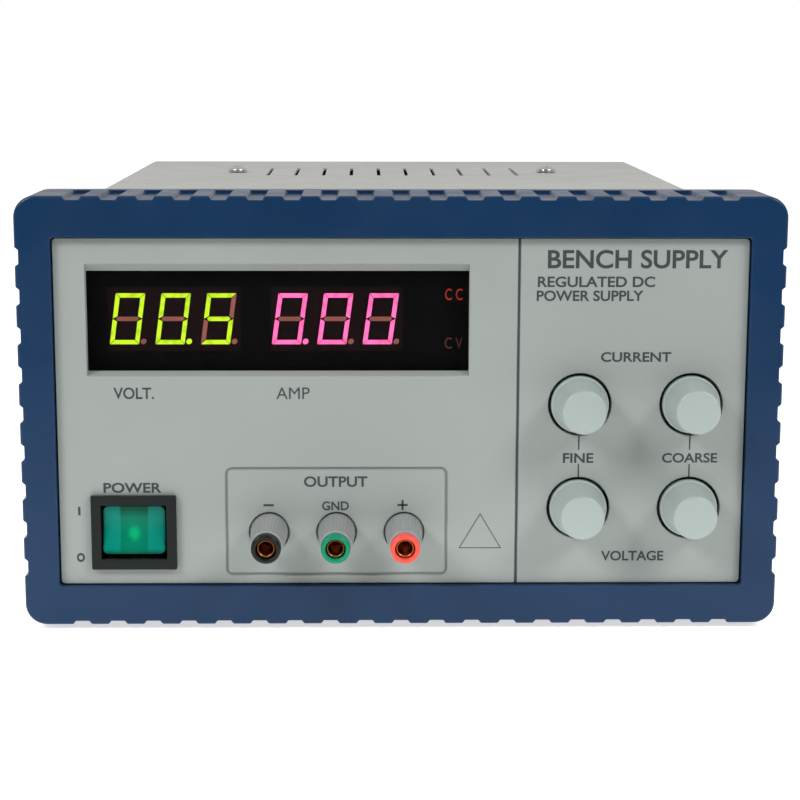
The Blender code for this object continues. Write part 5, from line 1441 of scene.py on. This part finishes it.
class SUPPLY_OT_rear_parts(bpy.types.Operator):
    """Make the fan, the mains inlet, the fuse drawer and the voltage selector"""

    bl_idname = "supply.rear_parts"
    bl_label = "Rear Parts"

    INLET_HALF_WIDTH = 0.0092
    INLET_DEPTH = 0.0158
    # The pins, from a point this far above the inlet's middle
    PINS_UP = 0.0085
    PINS = ((0.0, 0.0015), (-0.007, -0.0025), (0.007, -0.0025))
    PIN_HALF_WIDTH = 0.0012
    PIN_HALF_HEIGHT = 0.0022

    def execute(self, context):
        edge = sizes().plastic_edge
        rounded_piece("fan_frame", fan_black(), edge)
        rounded_piece("fan_rotor", fan_black(), edge, "fan_rotor_body")
        rounded_piece("fuse_drawer", switch_black(), edge, "fuse_carrier")
        rounded_piece("voltage_selector", switch_black(), edge)
        rounded_piece("selector_slider", slider_white(), edge, "selector")
        self.inlet(edge)
        return {"FINISHED"}

    def inlet(self, edge):
        """Make the mains inlet, with plated pins in its black socket."""
        bm = merged_copy("power_inlet")
        round_edges(bm, sharp_edges(bm), edge)
        centre = middle("power_inlet")
        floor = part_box("power_inlet")[1].y - self.INLET_DEPTH
        for face in bm.faces:
            spot = face.calc_center_median()
            within = abs(spot.x - centre.x) < self.INLET_HALF_WIDTH and spot.y > floor
            if within and self.on_pin(spot - centre):
                face.material_index = 1
        piece(
            "power_inlet_shell", bm, (switch_black(), zinc()), "cabinet", ("power_inlet",),
            weighted=True,
        )

    def on_pin(self, spot):
        """Say whether a spot, from the inlet's middle, lies on one of the three pins."""
        return any(
            abs(spot.x - x) < self.PIN_HALF_WIDTH and abs(spot.z - self.PINS_UP - z) < self.PIN_HALF_HEIGHT
            for x, z in self.PINS
        )


class SUPPLY_OT_inside(bpy.types.Operator):
    """Give the parts inside the case their finishes"""

    bl_idname = "supply.inside"
    bl_label = "Inside Parts"

    def execute(self, context):
        finishes = {
            "transformer_core": core_steel(),
            "transformer_winding": winding_tape(),
            "main_board": circuit_board(),
            "meter_board": circuit_board(),
            "control_board": circuit_board(),
            "filter_capacitor_1": capacitor_sleeve(),
            "filter_capacitor_2": capacitor_sleeve(),
            "bridge_rectifier": component_black(),
            "power_transistor_1": component_black(),
            "power_transistor_2": component_black(),
            "heat_sink": heat_sink_aluminium(),
            "fuse": fuse_glass(),
        }
        finishes.update({f"potentiometer_{name}": pressed_steel() for name in KNOBS})
        for name, material in finishes.items():
            node_object = frame["nodes"][name]
            for slot in node_object.material_slots:
                slot.material = material
        return {"FINISHED"}


class SUPPLY_OT_stage(bpy.types.Operator):
    """Set the camera, the soft lights and the pale floor"""

    bl_idname = "supply.stage"
    bl_label = "Stage"

    SENSOR_WIDTH = 36.0
    SOFTBOX_ASIDE = 0.8
    SOFTBOX_AHEAD = 0.8
    SOFTBOX_UP = 0.85
    SOFTBOX_WIDTH = 0.4
    FLOOR_HALF = 6.0
    FLOOR_AHEAD = 0.32
    # The surrounding light grows between these places, counted backwards plus half of upwards
    DIM_UP_TO = -0.35
    FULL_FROM = 0.45

    def execute(self, context):
        settings = context.scene.supply_stage
        self.camera(context, settings)
        self.world(context, settings)
        self.softbox(context, "key_light", -1, settings.key)
        self.softbox(context, "fill_light", 1, settings.fill)
        self.floor(settings)
        return {"FINISHED"}

    def camera(self, context, settings):
        """Place the camera in front of the controls."""
        data = bpy.data.cameras.new("camera")
        data.sensor_width = self.SENSOR_WIDTH
        data.lens = settings.lens
        data.dof.use_dof = False
        data.clip_start = 0.01
        data.clip_end = 50.0
        obj = bpy.data.objects.new("camera", data)
        context.scene.collection.objects.link(obj)
        low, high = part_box("front_bezel")
        eye = Vector(settings.eye) + Vector(((low.x + high.x) / 2, low.y, low.z))
        turn = Matrix.Rotation(-settings.turn, 4, "Z")
        tilt = Matrix.Rotation(math.radians(90) - settings.pitch, 4, "X")
        roll = Matrix.Rotation(settings.roll, 4, "Z")
        obj.matrix_world = Matrix.Translation(eye) @ turn @ tilt @ roll
        context.scene.camera = obj

    def world(self, context, settings):
        """Light most from above and behind, and show pure white to the camera."""
        world = bpy.data.worlds.new("studio")
        world.use_nodes = True
        tree = world.node_tree
        tree.nodes.clear()
        seen = node(tree, "ShaderNodeLightPath").outputs["Is Camera Ray"]
        direction = node(tree, "ShaderNodeTexCoord").outputs["Generated"]
        towards = node(tree, "ShaderNodeSeparateXYZ", {0: direction}).outputs
        rearwards = maths(tree, "ADD", towards["Y"], maths(tree, "MULTIPLY", towards["Z"], 0.5))
        strength = ramp(tree, rearwards, self.DIM_UP_TO, self.FULL_FROM, settings.front, settings.surround)
        light = node(tree, "ShaderNodeBackground", {"Color": (1, 1, 1, 1), "Strength": strength})
        white = node(tree, "ShaderNodeBackground", {"Color": (1, 1, 1, 1), "Strength": 1.0})
        mix = node(tree, "ShaderNodeMixShader", {0: seen, 1: light.outputs[0], 2: white.outputs[0]})
        node(tree, "ShaderNodeOutputWorld", {"Surface": mix.outputs[0]})
        context.scene.world = world
        context.scene.view_settings.view_transform = "Standard"

    def softbox(self, context, name, side, power):
        """Hang one softbox in front, at the left (-1) or the right (1), pointed at the frame's middle."""
        data = bpy.data.lights.new(name, "AREA")
        data.shape = "SQUARE"
        data.size = self.SOFTBOX_WIDTH
        data.energy = power
        place = Vector((side * self.SOFTBOX_ASIDE, -self.SOFTBOX_AHEAD, self.SOFTBOX_UP))
        obj = bpy.data.objects.new(name, data)
        obj.location = place
        obj.rotation_euler = (middle("front_bezel") - place).to_track_quat("-Z", "Y").to_euler()
        context.scene.collection.objects.link(obj)

    def floor(self, settings):
        """Lay the floor under the feet."""
        bm = bmesh.new()
        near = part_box("front_bezel")[0].y - self.FLOOR_AHEAD
        place = Matrix.Translation((0.0, near + self.FLOOR_HALF, 0.0))
        bmesh.ops.create_grid(bm, x_segments=4, y_segments=4, size=self.FLOOR_HALF, matrix=place)
        mesh = bpy.data.meshes.new("studio_floor")
        bm.to_mesh(mesh)
        bm.free()
        mesh.materials.append(
            surface(
                "floor_white", (0.9, 0.9, 0.9), 0.85, drift=0.01, grain=200.0, specular_ior_level=0.1,
                emission_color=(1.0, 1.0, 1.0, 1.0), emission_strength=settings.floor_glow,
            )
        )
        obj = bpy.data.objects.new("studio_floor", mesh)
        bpy.context.scene.collection.objects.link(obj)


class SUPPLY_PT_builder(bpy.types.Panel):
    """Lists the settings and the steps of the build"""

    bl_idname = "SUPPLY_PT_builder"
    bl_label = "Bench Supply"
    bl_space_type = "VIEW_3D"
    bl_region_type = "UI"
    bl_category = "Bench Supply"

    def draw(self, context):
        column = self.layout.column(align=True)
        for operator in OPERATORS:
            column.operator(operator.bl_idname)
        for group in (context.scene.supply_sizes, context.scene.supply_colours, context.scene.supply_stage):
            box = self.layout.box()
            for key in group.bl_rna.properties.keys():
                if key not in {"rna_type", "name"}:
                    box.prop(group, key)


OPERATORS = (
    SUPPLY_OT_stage,
    SUPPLY_OT_bumper_frame,
    SUPPLY_OT_control_panel,
    SUPPLY_OT_labels,
    SUPPLY_OT_meters,
    SUPPLY_OT_power_switch,
    SUPPLY_OT_knobs,
    SUPPLY_OT_binding_posts,
    SUPPLY_OT_case,
    SUPPLY_OT_rear_parts,
    SUPPLY_OT_inside,
)
GROUPS = (SupplySizes, SupplyColours, SupplyStage)


def register():
    """Register the settings, the operators and the panel."""
    for item in (*GROUPS, *OPERATORS, SUPPLY_PT_builder):
        bpy.utils.register_class(item)
    bpy.types.Scene.supply_sizes = PointerProperty(type=SupplySizes)
    bpy.types.Scene.supply_colours = PointerProperty(type=SupplyColours)
    bpy.types.Scene.supply_stage = PointerProperty(type=SupplyStage)


def unregister():
    """Remove what register added."""
    for name in ("supply_sizes", "supply_colours", "supply_stage"):
        delattr(bpy.types.Scene, name)
    for item in reversed((*GROUPS, *OPERATORS, SUPPLY_PT_builder)):
        bpy.utils.unregister_class(item)


def main():
    """Build everything."""
    register()
    for operator in OPERATORS:
        group, name = operator.bl_idname.split(".")
        getattr(getattr(bpy.ops, group), name)()


if __name__ == "__main__":
    main()
